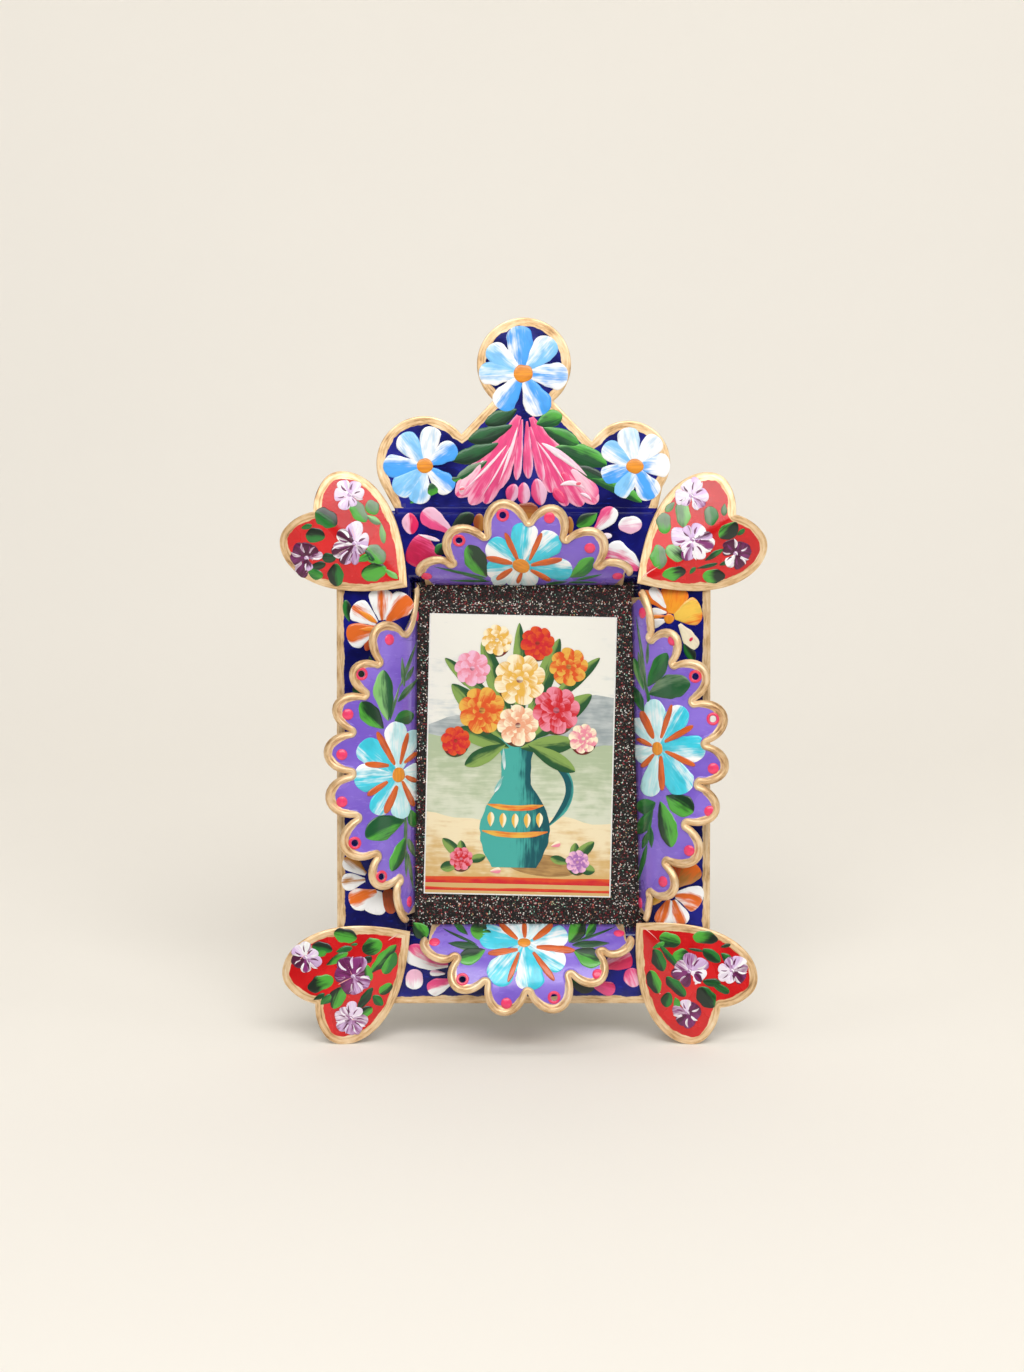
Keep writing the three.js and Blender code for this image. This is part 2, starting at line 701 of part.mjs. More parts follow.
// Leg in the hinge's own axes, hanging straight down from the pin. length reaches the surface it stands on,
// and slant is the angle between the leg and the vertical when it stands.
function legGeometry(length, slant) {
  const heelRoom = hingeStandOff - seat - legTin / 2 * Math.cos(radians(legAngle));
  const heel = heelRoom / Math.sin(radians(legAngle));
  const end = -length + legTin / 2;
  const half = (width) => width / 2;
  const outline = new THREE.Shape([
    new THREE.Vector2(-half(legNeckWidth), heel),
    new THREE.Vector2(-half(legNeckWidth), -legNeckLength),
    new THREE.Vector2(-half(legShoulderWidth), -legShoulderLength),
    new THREE.Vector2(-half(legFootWidth), end),
    new THREE.Vector2(half(legFootWidth), end),
    new THREE.Vector2(half(legShoulderWidth), -legShoulderLength),
    new THREE.Vector2(half(legNeckWidth), -legNeckLength),
    new THREE.Vector2(half(legNeckWidth), heel),
  ]);
  const strip = plate(outline, -legTin / 2, legTin);
  const halfWidthAt = (z) => THREE.MathUtils.mapLinear(
    z, -legShoulderLength, end, half(legShoulderWidth), half(legFootWidth),
  );
  // A raised edge or rib on the back of the strip, between two heights, from one side offset to another
  const raised = (inner, outer, height) => {
    const section = (z) => [
      [inner(z), 0, z],
      [outer(z), 0, z],
      [outer(z), legTin / 2 + height, z],
      [inner(z), legTin / 2 + height, z],
    ];
    return loft(section(-length + 2 * legFootLength), section(-legShoulderLength));
  };
  const rims = [
    raised((z) => halfWidthAt(z) - legTin, halfWidthAt, legRimHeight),
    raised((z) => -halfWidthAt(z), (z) => legTin - halfWidthAt(z), legRimHeight),
  ];
  const rib = raised(() => -half(legRibWidth), () => half(legRibWidth), half(legRibWidth));
  const foot = block(-half(legFootWidth), half(legFootWidth), -legTin / 2, legFootLength, 0, legTin);
  foot.rotateX(-radians(slant)).translate(0, 0, -length);
  const knuckle = barrel(-half(legNeckWidth), half(legNeckWidth), knuckleRadius);
  const bore = barrel(-legNeckWidth, legNeckWidth, boreRadius);
  return difference(union(strip, ...rims, rib, foot, knuckle), bore);
}

// Assembly, upright first
const group = new THREE.Group();
const frame = new THREE.Group();
group.add(frame);
frame.rotation.x = -radians(lean);

frame.add(piece('border_frame', borderFrame(), cobalt));
fans.forEach((fan) => frame.add(placedFan(fan)));

const crest = new THREE.Group();
crest.position.set(0, 0, borderHeight + seat);
crest.add(piece('crest', crestGeometry(), cobalt));
const hangingLoop = piece('hanging_loop', loopGeometry(), bareTin);
hangingLoop.rotation.x = -radians(crestLean);
crest.add(hangingLoop);
frame.add(crest);

const heartMeshes = hearts.map(placedHeart);
heartMeshes.forEach((mesh) => frame.add(mesh));

frame.add(piece('glitter_board', plate(boardShape(trayPlay), boardFront, glitterBoardThickness), glitter));
frame.add(piece('backing_card', plate(boardShape(trayPlay), backingFront, backingThickness), brownCard));
frame.add(piece('back_cover', plate(boardShape(trayPlay), coverFront, tin), bareTin));
tabs.forEach((tab) => frame.add(placedTab(tab)));

const card = piece('picture_card', new THREE.BoxGeometry(cardWidth, cardThickness, cardHeight), cardStock);
card.position.set(cardCentreX, boardFront - seat - cardThickness / 2, cardCentreHeight);
card.rotation.y = -radians(cardTurn);
frame.add(card);

const hinge = new THREE.Group();
hinge.position.set(0, hingeAxisY, borderHeight - hingeDrop);
hinge.add(piece('hinge_plate', hingePlateGeometry(), bareTin));
hinge.add(piece('hinge_pin', hingePinGeometry(), bareTin));
frame.add(hinge);

// Both lower hearts reach the same level, and the leg is cut to reach it too
const lowest = (object) => {
  frame.updateMatrixWorld(true);
  return new THREE.Box3().setFromObject(object, true).min.z;
};
const feet = [heartMeshes[0], heartMeshes[3]];
const floor = feet.reduce((sum, mesh) => sum + lowest(mesh), 0) / feet.length;
for (const mesh of feet) {
  mesh.position.z -= (lowest(mesh) - floor) / Math.cos(radians(lean));
}
const slant = legAngle - lean;
const hingeRise = hinge.getWorldPosition(new THREE.Vector3()).z - floor;
const leg = piece('easel_leg', legGeometry(hingeRise / Math.cos(radians(slant)), slant), bareTin);
leg.rotation.x = radians(legAngle);
hinge.add(leg);

// Origin on the surface it stands on, under the middle of the whole object
group.updateMatrixWorld(true);
const box = new THREE.Box3().setFromObject(group, true);
const middle = box.getCenter(new THREE.Vector3());
frame.position.set(-middle.x, -middle.y, -box.min.z);

export default group;
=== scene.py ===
# Looks of the floral picture frame: painted tin with curled fans, hearts, a crest and a glitter board.
# Lengths are millimetres in the frame's own upright axes: X right, Y back, Z up, front face at Y = 0.
import math

import bmesh
import bpy
import numpy as np
from mathutils import Matrix, Vector, kdtree, noise
from mathutils.geometry import intersect_point_line

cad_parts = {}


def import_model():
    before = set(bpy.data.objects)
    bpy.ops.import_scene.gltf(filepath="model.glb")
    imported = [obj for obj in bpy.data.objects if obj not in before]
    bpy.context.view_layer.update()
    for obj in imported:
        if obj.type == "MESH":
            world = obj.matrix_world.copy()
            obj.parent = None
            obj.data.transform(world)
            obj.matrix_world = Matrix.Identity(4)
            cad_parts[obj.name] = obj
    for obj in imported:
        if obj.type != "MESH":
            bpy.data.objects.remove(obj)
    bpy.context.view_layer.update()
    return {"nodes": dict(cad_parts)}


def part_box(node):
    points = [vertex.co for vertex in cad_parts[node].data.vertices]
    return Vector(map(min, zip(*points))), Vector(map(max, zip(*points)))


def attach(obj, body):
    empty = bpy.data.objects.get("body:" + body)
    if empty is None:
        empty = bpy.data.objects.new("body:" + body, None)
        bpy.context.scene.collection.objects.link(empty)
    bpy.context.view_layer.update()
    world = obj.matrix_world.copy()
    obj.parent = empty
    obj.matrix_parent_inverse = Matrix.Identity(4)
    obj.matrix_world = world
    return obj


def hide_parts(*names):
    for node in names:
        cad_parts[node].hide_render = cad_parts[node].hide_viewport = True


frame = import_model()
scene = bpy.context.scene

MM = 0.001
LEAN = math.radians(8)
TIN = 0.5
HALF_TIN = TIN / 2
SEAT = 0.3
BORDER_WIDTH = 101
BORDER_HEIGHT = 133.4
BORDER_DEPTH = 10
FOLD_RADIUS = 0.9
CORNER_RADIUS = 1.2
WINDOW_RADIUS = 0.4
RECESS_DEPTH = 4
RECESS_DRAFT = 1.2

# Window corners at the front fold, clockwise from the bottom left as the viewer sees them
WINDOW = [(-31.55, 19.1), (-30.7, 115.4), (31.1, 115.4), (33.75, 19.1)]

border_low, border_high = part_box("border_frame")
PLACE = Matrix.Translation((
    (border_low.x + border_high.x) / 2,
    border_low.y,
    border_low.z + BORDER_DEPTH * MM * math.sin(LEAN),
)) @ Matrix.Rotation(-LEAN, 4, "X")


def world(x, y, z):
    """A point of the upright frame, in the scene's metres."""
    return PLACE @ Vector((x * MM, y * MM, z * MM))


def linear(red, green, blue):
    """An 8-bit colour as the photograph shows it, as Blender's linear colour."""
    def channel(value):
        share = value / 255
        return share / 12.92 if share <= 0.04045 else ((share + 0.055) / 1.055) ** 2.4
    return (channel(red), channel(green), channel(blue), 1.0)


# Paints

WHITE = linear(250, 250, 250)
CREAM = linear(250, 238, 205)
IVORY = linear(232, 214, 190)
CYAN = linear(60, 205, 228)
PALE_CYAN = linear(185, 236, 242)
SKY = linear(70, 165, 250)
PALE_SKY = linear(190, 225, 252)
LIGHT_SKY = linear(130, 200, 252)
ORANGE = linear(236, 112, 20)
RUST = linear(196, 72, 12)
BRONZE = linear(160, 70, 20)
AMBER = linear(248, 160, 36)
YELLOW = linear(246, 200, 80)
OCHRE = linear(190, 125, 50)
GOLDEN = linear(214, 128, 30)
PINK = linear(240, 80, 140)
HOT_PINK = linear(232, 30, 95)
CRIMSON = linear(200, 18, 75)
PALE_PINK = linear(244, 190, 215)
PINE = linear(8, 52, 22)
FERN = linear(12, 84, 40)
GREEN = linear(30, 116, 42)
LIME = linear(78, 168, 54)
MINT = linear(130, 190, 110)
SAGE = linear(105, 135, 100)
MOSS = linear(16, 34, 20)
PLUM = linear(78, 8, 54)
PURPLE = linear(132, 44, 116)
LILAC = linear(214, 182, 224)
MIST = linear(238, 226, 240)
DOT_PINK = linear(240, 62, 112)
DOT_RED = linear(226, 52, 62)
RED = linear(214, 18, 24)


# Materials

class Nodes:
    """Builds the nodes of one material. place() gives vectors in millimetres of the piece's own axes."""

    def __init__(self, name):
        self.material = bpy.data.materials.new(name)
        self.material.use_nodes = True
        self.tree = self.material.node_tree
        self.shader = self.tree.nodes["Principled BSDF"]

    def add(self, kind, inputs, **settings):
        node = self.tree.nodes.new(kind)
        for key, value in settings.items():
            setattr(node, key, value)
        for key, value in inputs.items():
            self.give(node.inputs[key], value)
        return node

    def give(self, socket, value):
        if isinstance(value, bpy.types.NodeSocket):
            self.tree.links.new(value, socket)
        else:
            socket.default_value = value

    def set(self, **values):
        for key, value in values.items():
            self.give(self.shader.inputs[key.replace("_", " ")], value)

    def place(self, stretch=(1, 1, 1)):
        source = self.add("ShaderNodeTexCoord", {}).outputs["Object"]
        scale = tuple(share / MM for share in stretch)
        return self.add("ShaderNodeMapping", {"Vector": source, "Scale": scale}).outputs[0]

    def attribute(self, name, output="Fac"):
        return self.add("ShaderNodeAttribute", {}, attribute_name=name).outputs[output]

    def stretched(self, vector, stretch):
        return self.add("ShaderNodeMapping", {"Vector": vector, "Scale": stretch}).outputs[0]

    def warped(self, vector, scale, amount):
        """The vector pushed about by a noise, so that what is drawn with it is curly."""
        push = self.add("ShaderNodeTexNoise", {"Vector": vector, "Scale": scale, "Detail": 1.0})
        inputs = {0: push.outputs["Color"], 1: (amount,) * 3, 2: vector}
        return self.add("ShaderNodeVectorMath", inputs, operation="MULTIPLY_ADD").outputs[0]

    def noise(self, vector, scale, detail=2.0, roughness=0.5):
        inputs = {"Vector": vector, "Scale": scale, "Detail": detail, "Roughness": roughness}
        return self.add("ShaderNodeTexNoise", inputs).outputs["Fac"]

    def math(self, operation, first, second=0.0):
        return self.add("ShaderNodeMath", {0: first, 1: second}, operation=operation).outputs[0]

    def smooth(self, value, low, high, to_low=0.0, to_high=1.0):
        inputs = {"Value": value, "From Min": low, "From Max": high, "To Min": to_low, "To Max": to_high}
        return self.add("ShaderNodeMapRange", inputs, interpolation_type="SMOOTHSTEP").outputs[0]

    def mix(self, share, first, second, blend="MIX"):
        node = self.add("ShaderNodeMix", {0: share}, data_type="RGBA", blend_type=blend)
        self.give(node.inputs[6], first)
        self.give(node.inputs[7], second)
        return node.outputs[2]

    def ramp(self, value, stops):
        """A colour by value, from stops of a position and an 8-bit colour."""
        node = self.add("ShaderNodeValToRGB", {"Fac": value})
        while len(node.color_ramp.elements) < len(stops):
            node.color_ramp.elements.new(0.5)
        for element, (position, *colour) in zip(node.color_ramp.elements, stops):
            element.position = position
            element.color = linear(*colour)
        return node.outputs["Color"]

    def bump(self, height, distance, strength=1.0, normal=None):
        inputs = {"Height": height, "Distance": distance * MM, "Strength": strength}
        if normal is not None:
            inputs["Normal"] = normal
        return self.add("ShaderNodeBump", inputs).outputs[0]


def gold_paint_with_painted_sheen(nodes, run):
    """Colour of the gold edge paint: streaks along the edge, from brown through gold to cream, partly brush
    streaks and partly painted highlight and shade.
    """
    streaks = nodes.noise(nodes.stretched(run, (0.22, 1.6, 1)), 1.0, 4, 0.65)
    cloud = nodes.noise(nodes.place(), 0.12, 3)
    value = nodes.math("ADD", nodes.math("MULTIPLY", streaks, 0.6), nodes.math("MULTIPLY", cloud, 0.4))
    # The cream end of this ramp is partly a painted highlight on the bead, and the brown end partly painted
    # shade
    return nodes.ramp(value, [
        (0.34, 132, 90, 54),
        (0.41, 200, 158, 108),
        (0.5, 230, 194, 146),
        (0.59, 242, 214, 174),
        (0.7, 255, 242, 216),
    ])


def enamel(name, colour, deep, light, gold_width=0.0, sheen=0.2):
    """Glossy enamel brushed on thin tin. The attribute edge is the distance from the gold-painted edge."""
    nodes = Nodes(name)
    place = nodes.place()
    broad = nodes.noise(place, 0.07, 3, 0.6)
    brushed = nodes.noise(nodes.place((0.35, 0.35, 1.3)), 0.9, 4, 0.65)
    base = nodes.mix(nodes.smooth(broad, 0.35, 0.68), deep, colour)
    base = nodes.mix(nodes.smooth(brushed, 0.55, 0.8, 0, 0.55), base, light)
    wavy = nodes.bump(nodes.noise(place, 0.06, 2), 0.5, 0.6)
    normal = nodes.bump(brushed, 0.03, 0.5, wavy)
    roughness = nodes.smooth(broad, 0.3, 0.7, sheen, sheen + 0.12)
    metallic = 0.0
    if gold_width:
        edge = nodes.attribute("edge")
        wander = nodes.noise(place, 0.3, 2)
        shifted = nodes.math("ADD", edge, nodes.math("MULTIPLY", nodes.math("SUBTRACT", wander, 0.5), 1.4))
        inside = nodes.smooth(shifted, gold_width - 0.07, gold_width + 0.07)
        base = nodes.mix(inside, gold_paint_with_painted_sheen(nodes, nodes.attribute("run", "Vector")), base)
        roughness = nodes.math("ADD", roughness, nodes.smooth(inside, 1, 0, 0, 0.16))
        metallic = nodes.smooth(inside, 1, 0, 0, 0.4)
    nodes.set(Base_Color=base, Roughness=roughness, Metallic=metallic, Normal=normal)
    nodes.set(Coat_Weight=0.3, Coat_Roughness=0.1)
    return nodes.material


def stroke_paint(name, roughness=0.3, coat=0.3, relief=0.04, shade=0.14):
    """Two colours picked up on one brush. Each stroke's colours and directions are in its attributes."""
    nodes = Nodes(name)
    streak = nodes.attribute("streak", "Vector")
    hairs = nodes.noise(nodes.stretched(streak, (0.13, 2.3, 1)), 1.0, 3, 0.65)
    patches = nodes.noise(nodes.stretched(streak, (0.25, 0.6, 1)), 0.9, 2)
    mixed = nodes.math("ADD", nodes.math("MULTIPLY", hairs, 0.95), nodes.math("MULTIPLY", patches, 1.05))
    share = nodes.math("ADD", nodes.attribute("share"), nodes.math("SUBTRACT", mixed, 1.0))
    base = nodes.mix(nodes.smooth(share, 0.2, 0.8), nodes.attribute("tone_a", "Color"),
                     nodes.attribute("tone_b", "Color"))
    base = nodes.mix(nodes.smooth(patches, 0.5, 0.3, 0, shade), base, (0, 0, 0, 1))
    normal = nodes.bump(hairs, relief, 0.8)
    nodes.set(Base_Color=base, Roughness=roughness, Normal=normal)
    nodes.set(Coat_Weight=coat, Coat_Roughness=0.1)
    return nodes.material


def glitter_material():
    """Black board with dense fine flakes, each its own colour and tilt."""
    nodes = Nodes("glitter")
    place = nodes.place()
    grains = nodes.add("ShaderNodeTexVoronoi", {"Vector": place, "Scale": 3.2, "Randomness": 1.0})
    tint = nodes.add("ShaderNodeSeparateColor", {"Color": grains.outputs["Color"]})
    base = nodes.ramp(tint.outputs[0], [
        (0.0, 6, 5, 5),
        (0.6, 18, 12, 10),
        (0.7, 62, 20, 22),
        (0.77, 150, 44, 54),
        (0.8, 24, 20, 20),
        (0.86, 36, 66, 56),
        (0.9, 22, 18, 16),
        (0.96, 96, 90, 84),
    ])
    bright = 0.0
    for stretch, limit in (((1.5, 1.5, 3.4), 0.86), ((3.4, 3.4, 1.5), 0.86), ((2.2, 2.2, 2.2), 0.9)):
        warped = nodes.warped(nodes.place(stretch), 0.9, 0.5)
        sparks = nodes.add("ShaderNodeTexVoronoi", {"Vector": warped, "Scale": 1.0, "Randomness": 1.0})
        spark_tint = nodes.add("ShaderNodeSeparateColor", {"Color": sparks.outputs["Color"]})
        lit = nodes.smooth(spark_tint.outputs[1], limit, limit + 0.01)
        core = nodes.smooth(sparks.outputs["Distance"], 0.42, 0.3)
        spark = nodes.math("MULTIPLY", lit, core)
        colour = nodes.ramp(spark_tint.outputs[2], [
            (0.0, 255, 252, 246),
            (0.45, 236, 230, 220),
            (0.6, 170, 164, 158),
            (0.74, 222, 84, 92),
            (0.86, 226, 190, 130),
            (0.94, 150, 216, 190),
        ])
        base = nodes.mix(spark, base, colour)
        bright = nodes.math("MAXIMUM", spark, bright)
    normal = nodes.bump(tint.outputs[1], 0.12, 0.8)
    metallic = nodes.smooth(tint.outputs[0], 0.5, 0.6, 0.1, 0.5)
    metallic = nodes.math("MULTIPLY", metallic, nodes.math("SUBTRACT", 1.0, bright))
    roughness = nodes.smooth(tint.outputs[2], 0, 1, 0.3, 0.6)
    nodes.set(Base_Color=base, Roughness=roughness, Metallic=metallic, Normal=normal)
    return nodes.material


def bare_tin(name):
    """Unpainted tin: faint spangle, rolling lines, fingermarks and some dull brown bloom."""
    nodes = Nodes(name)
    place = nodes.place()
    spangle = nodes.add("ShaderNodeTexVoronoi", {"Vector": place, "Scale": 0.11, "Randomness": 1.0})
    grain = nodes.add("ShaderNodeSeparateColor", {"Color": spangle.outputs["Color"]})
    lines = nodes.noise(nodes.place((0.15, 0.15, 6)), 1.0, 4, 0.7)
    bloom = nodes.noise(place, 0.05, 5, 0.65)
    base = nodes.mix(grain.outputs[0], linear(172, 174, 172), linear(190, 191, 188))
    base = nodes.mix(nodes.smooth(bloom, 0.52, 0.72, 0, 0.45), base, linear(128, 112, 92))
    roughness = nodes.math("ADD", nodes.smooth(lines, 0.3, 0.7, 0.26, 0.4),
                           nodes.smooth(bloom, 0.5, 0.7, 0, 0.2))
    normal = nodes.bump(lines, 0.02, 0.4, nodes.bump(bloom, 0.25, 0.4))
    nodes.set(Base_Color=base, Roughness=roughness, Metallic=0.92, Normal=normal)
    return nodes.material


def wire_material():
    nodes = Nodes("wire")
    drawn = nodes.noise(nodes.place((3, 3, 0.6)), 1.0, 3)
    base = nodes.mix(drawn, linear(150, 148, 142), linear(202, 200, 194))
    nodes.set(Base_Color=base, Roughness=nodes.smooth(drawn, 0.3, 0.7, 0.22, 0.42), Metallic=1.0)
    nodes.set(Normal=nodes.bump(drawn, 0.03, 0.5))
    return nodes.material


def card_material(name, colour, roughness, fibre):
    nodes = Nodes(name)
    fine = nodes.noise(nodes.place((1, 1, 0.4)), 2.2, 4, 0.7)
    broad = nodes.noise(nodes.place(), 0.12, 3)
    dark = tuple(0.8 * channel for channel in colour[:3]) + (1,)
    base = nodes.mix(nodes.smooth(fine, 0.3, 0.75), dark, colour)
    base = nodes.mix(nodes.smooth(broad, 0.4, 0.8, 0, 0.3), base, dark)
    nodes.set(Base_Color=base, Roughness=roughness, Normal=nodes.bump(fine, fibre, 0.6))
    return nodes.material


def paper_material():
    nodes = Nodes("backdrop_paper")
    tooth = nodes.noise(nodes.place(), 1.2, 3)
    base = nodes.mix(nodes.noise(nodes.place(), 0.004, 2), linear(245, 240, 231), linear(242, 237, 228))
    nodes.set(Base_Color=base, Roughness=0.9, Normal=nodes.bump(tooth, 0.02, 0.3))
    return nodes.material


COBALT = enamel("cobalt", linear(8, 13, 128), linear(2, 3, 72), linear(20, 54, 196), 2.1, 0.14)
CREST_COBALT = enamel("crest_cobalt", linear(9, 14, 134), linear(2, 3, 74), linear(22, 58, 200), 2.4, 0.14)
LAVENDER = enamel("lavender", linear(140, 112, 216), linear(120, 90, 198), linear(166, 142, 232), 2.5)
SCARLET = enamel("scarlet", linear(216, 18, 22), linear(190, 10, 16), linear(232, 34, 36), 2.1)
STROKES = stroke_paint("brush_strokes")
PRINT = stroke_paint("card_print", 0.3, 0.5, 0.004, 0.0)
TIN_SHEET = bare_tin("bare_tin")


# Meshes

def make_object(name, points, faces, materials, body="frame"):
    """A smooth piece from points in millimetres of the upright frame."""
    mesh = bpy.data.meshes.new(name)
    mesh.from_pydata((np.array(points, float) * MM).tolist(), [], faces)
    mesh.polygons.foreach_set("use_smooth", [True] * len(mesh.polygons))
    for material in materials:
        mesh.materials.append(material)
    mesh.update()
    piece = bpy.data.objects.new(name, mesh)
    scene.collection.objects.link(piece)
    piece.matrix_world = PLACE
    if body:
        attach(piece, body)
    return piece


def add_attribute(mesh, name, kind, values):
    """Keeps one value for each vertex: FLOAT, FLOAT_VECTOR or FLOAT_COLOR."""
    layer = mesh.attributes.new(name, kind, "POINT")
    field = {"FLOAT": "value", "FLOAT_VECTOR": "vector", "FLOAT_COLOR": "color"}[kind]
    layer.data.foreach_set(field, np.array(values, np.float32).ravel())


def edge_marks(mesh, edges, runs):
    """Keeps what the gold paint needs: distance from the edge, and place along it."""
    add_attribute(mesh, "edge", "FLOAT", edges)
    add_attribute(mesh, "run", "FLOAT_VECTOR", [(run, edge, 0) for run, edge in zip(runs, edges)])


def bare_faces(piece, unpainted):
    """Gives the second material, bare tin, to the faces whose points all pass the test."""
    for face in piece.data.polygons:
        if all(unpainted(index) for index in face.vertices):
            face.material_index = 1


def tin_piece(name, node, paint, points, faces, edges, runs, unpainted):
    """A painted piece that stands for a CAD node, bare where all points of a face pass the test."""
    piece = make_object(name, points, faces, [paint, TIN_SHEET])
    edge_marks(piece.data, edges, runs)
    bare_faces(piece, unpainted)
    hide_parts(node)


def skin(rows, columns, first=0, ring=False, flip=False):
    """Faces between neighbouring rows of points. In a ring the last point of a row joins its first."""
    faces = []
    for row in range(rows - 1):
        low = first + row * columns
        high = low + columns
        for k in range(columns if ring else columns - 1):
            m = (k + 1) % columns
            quad = (low + k, low + m, high + m, high + k)
            faces.append((quad[0], quad[3], quad[2], quad[1]) if flip else quad)
    return faces


# Surfaces that carry paint. at() turns a place seen from the front, x and z, into a point on the piece.

class Plane:
    """A flat face at depth y that may lean back about its lower edge."""

    def __init__(self, y=0.0, base=0.0, lean=0.0):
        self.y, self.base, self.lean = y, base, math.radians(lean)

    def at(self, x, z, lift):
        high = (z - self.base) / math.cos(self.lean)
        y = self.y + high * math.sin(self.lean) - lift * math.cos(self.lean)
        return (x, y, self.base + high * math.cos(self.lean) + lift * math.sin(self.lean))


FAN_RISE = 58
BEND_RADIUS = 6
CURL_RADIUS = 21.4
WALL_TILT = math.atan2(RECESS_DEPTH, RECESS_DRAFT)
FAN_ROOT = math.hypot(RECESS_DEPTH, RECESS_DRAFT)
FAN_BEND = BEND_RADIUS * (WALL_TILT - math.radians(FAN_RISE))
BEAD_WIDTH = 2.2
BEAD_HEIGHT = 0.8
BEAD_WEB = 0.8
BEAD_SOFT_START = 0.35
HOLE_RADIUS = 0.9
HOLE_PLACE = 0.45
LOBE_BULGE = 0.62

# The sheet's unevenness and how far up it reaches its full height
WAVE = 0.45
WAVE_RISE = 8

# The gold paint is narrower in a notch than on a lobe, and at a fan's slanted ends
NOTCH_PINCH = 0.4
END_PINCH = 1.15


def curl(distance):
    """How far out, how high and how steep the fan is, this far up its flat sheet."""
    root = min(distance, FAN_ROOT)
    bent = WALL_TILT - min(max(distance - FAN_ROOT, 0), FAN_BEND) / BEND_RADIUS
    tilt = bent - max(distance - FAN_ROOT - FAN_BEND, 0) / CURL_RADIUS
    out = (root * math.cos(WALL_TILT) + BEND_RADIUS * (math.sin(WALL_TILT) - math.sin(bent))
           + CURL_RADIUS * (math.sin(bent) - math.sin(tilt)))
    high = (root * math.sin(WALL_TILT) + BEND_RADIUS * (math.cos(bent) - math.cos(WALL_TILT))
            + CURL_RADIUS * (math.cos(tilt) - math.cos(bent)))
    return out, high, tilt


CURL_STEPS = [0.1 * step for step in range(341)]
CURL_OUTS = [curl(step)[0] for step in CURL_STEPS]


class Fan:
    """One scalloped fan that stands in the window and curls out over the border."""

    def __init__(self, name, side, gap, depth, notches, holes, ends):
        self.name, self.depth, self.holes, self.ends = name, depth, holes, ends
        start, end = (Vector((WINDOW[corner][0], 0, WINDOW[corner][1])) for corner in side)
        edge = (end - start).length
        self.along = (end - start).normalized()
        self.outward = Vector((0, -1, 0)).cross(self.along)
        shift = RECESS_DRAFT + gap
        self.length = edge - 2 * shift
        clearance = (SEAT + HALF_TIN) / math.sin(WALL_TILT)
        self.origin = (start + self.along * shift - self.outward * (RECESS_DRAFT + clearance)
                       + Vector((0, RECESS_DEPTH, 0)))
        self.notches = [Vector((a * self.length, b * depth)) for a, b in notches]

    def bent(self, along, distance, lift):
        """A point of the curled sheet, which is a little wavy, as hand-worked tin is."""
        out, high, tilt = curl(max(distance, 0.0))
        wave = noise.noise(Vector((along * 0.07, distance * 0.075, self.depth)))
        lift += WAVE * wave * min(distance / WAVE_RISE, 1)
        out -= lift * math.sin(tilt)
        high += lift * math.cos(tilt)
        return tuple(self.origin + self.along * along + self.outward * out + Vector((0, -high, 0)))

    def flat(self, x, z):
        """Where a place seen from the front lies on the flat sheet."""
        place = Vector((x, 0, z)) - self.origin
        out = min(max(place.dot(self.outward), 0.02), CURL_OUTS[-1])
        return place.dot(self.along), float(np.interp(out, CURL_OUTS, CURL_STEPS))

    def at(self, x, z, lift):
        along, distance = self.flat(x, z)
        return self.bent(along, distance, HALF_TIN + lift)

    def near(self, x, z, right, up, lift):
        """A point this far right of and above a place, measured along the sheet."""
        along, distance = self.flat(x, z)
        step = Vector((right, 0, up))
        along += step.dot(self.along)
        return self.bent(along, distance + step.dot(self.outward), HALF_TIN + lift)

    def lobes(self):
        """Start, end, chord, outward direction and bulge of each lobe on the flat sheet."""
        (first_height, first_bulge), (last_height, last_bulge) = self.ends
        stops = [Vector((0, first_height)), *self.notches, Vector((self.length, last_height))]
        last = len(stops) - 2
        shares = {0: first_bulge, last: last_bulge}
        result = []
        for i in range(last + 1):
            chord = stops[i + 1] - stops[i]
            outward = Vector((-chord.y, chord.x)).normalized()
            bulge = chord.length * shares.get(i, LOBE_BULGE)
            result.append((stops[i], stops[i + 1], chord, outward, bulge))
        return result

    def end_gap(self, place):
        """How far a place on the flat sheet lies from the nearer of the sheet's two slanted ends."""
        gaps = []
        for x, foot, height in ((0, BEAD_WIDTH, self.ends[0][0]),
                                (self.length, self.length - BEAD_WIDTH, self.ends[1][0])):
            near = intersect_point_line(place, Vector((foot, 0)), Vector((x, height)))[0]
            gaps.append((place - Vector((near.x, near.y))).length)
        return min(gaps) * END_PINCH

    def hole_places(self):
        """The middles of the punched holes on the flat sheet."""
        places = []
        for number in self.holes:
            start, _, chord, outward, bulge = self.lobes()[number]
            places.append(start + chord * 0.5 + outward * (bulge * HOLE_PLACE))
        return places


HEART_LENGTH = 32.3
HEART_REACH = 35.6
HEART_HALF_WIDTH = 15.7
HEART_SEAT_HALF_WIDTH = 12.8
HEART_STEPS = 26
CREASE_HALF_WIDTH = 0.6


class Heart:
    """A heart creased from tip to notch. Its axis turns from X towards Z."""

    def __init__(self, name, tip, turn, crease):
        self.name, self.tip, self.painted_from = name, tip, tip
        self.axis = Vector((math.cos(math.radians(turn)), 0, math.sin(math.radians(turn))))
        self.across = Vector((0, -1, 0)).cross(self.axis)
        self.slope = math.tan(math.radians(crease))

    def raised(self, along, across, lift):
        """A point this far along and across the heart, lifted off its front surface."""
        steep = math.hypot(self.slope, 1)
        side = max(-1.0, min(1.0, across / CREASE_HALF_WIDTH))
        high = SEAT + HALF_TIN + (HEART_SEAT_HALF_WIDTH - abs(across)) * self.slope + lift / steep
        sideways = across + side * lift * self.slope / steep
        point = Vector((self.tip[0], 0, self.tip[1])) + self.axis * along + self.across * sideways
        return (point.x, -high, point.z)

    def at(self, x, z, lift):
        place = Vector((x - self.painted_from[0], 0, z - self.painted_from[1]))
        return self.raised(place.dot(self.axis), place.dot(self.across), HALF_TIN + lift)


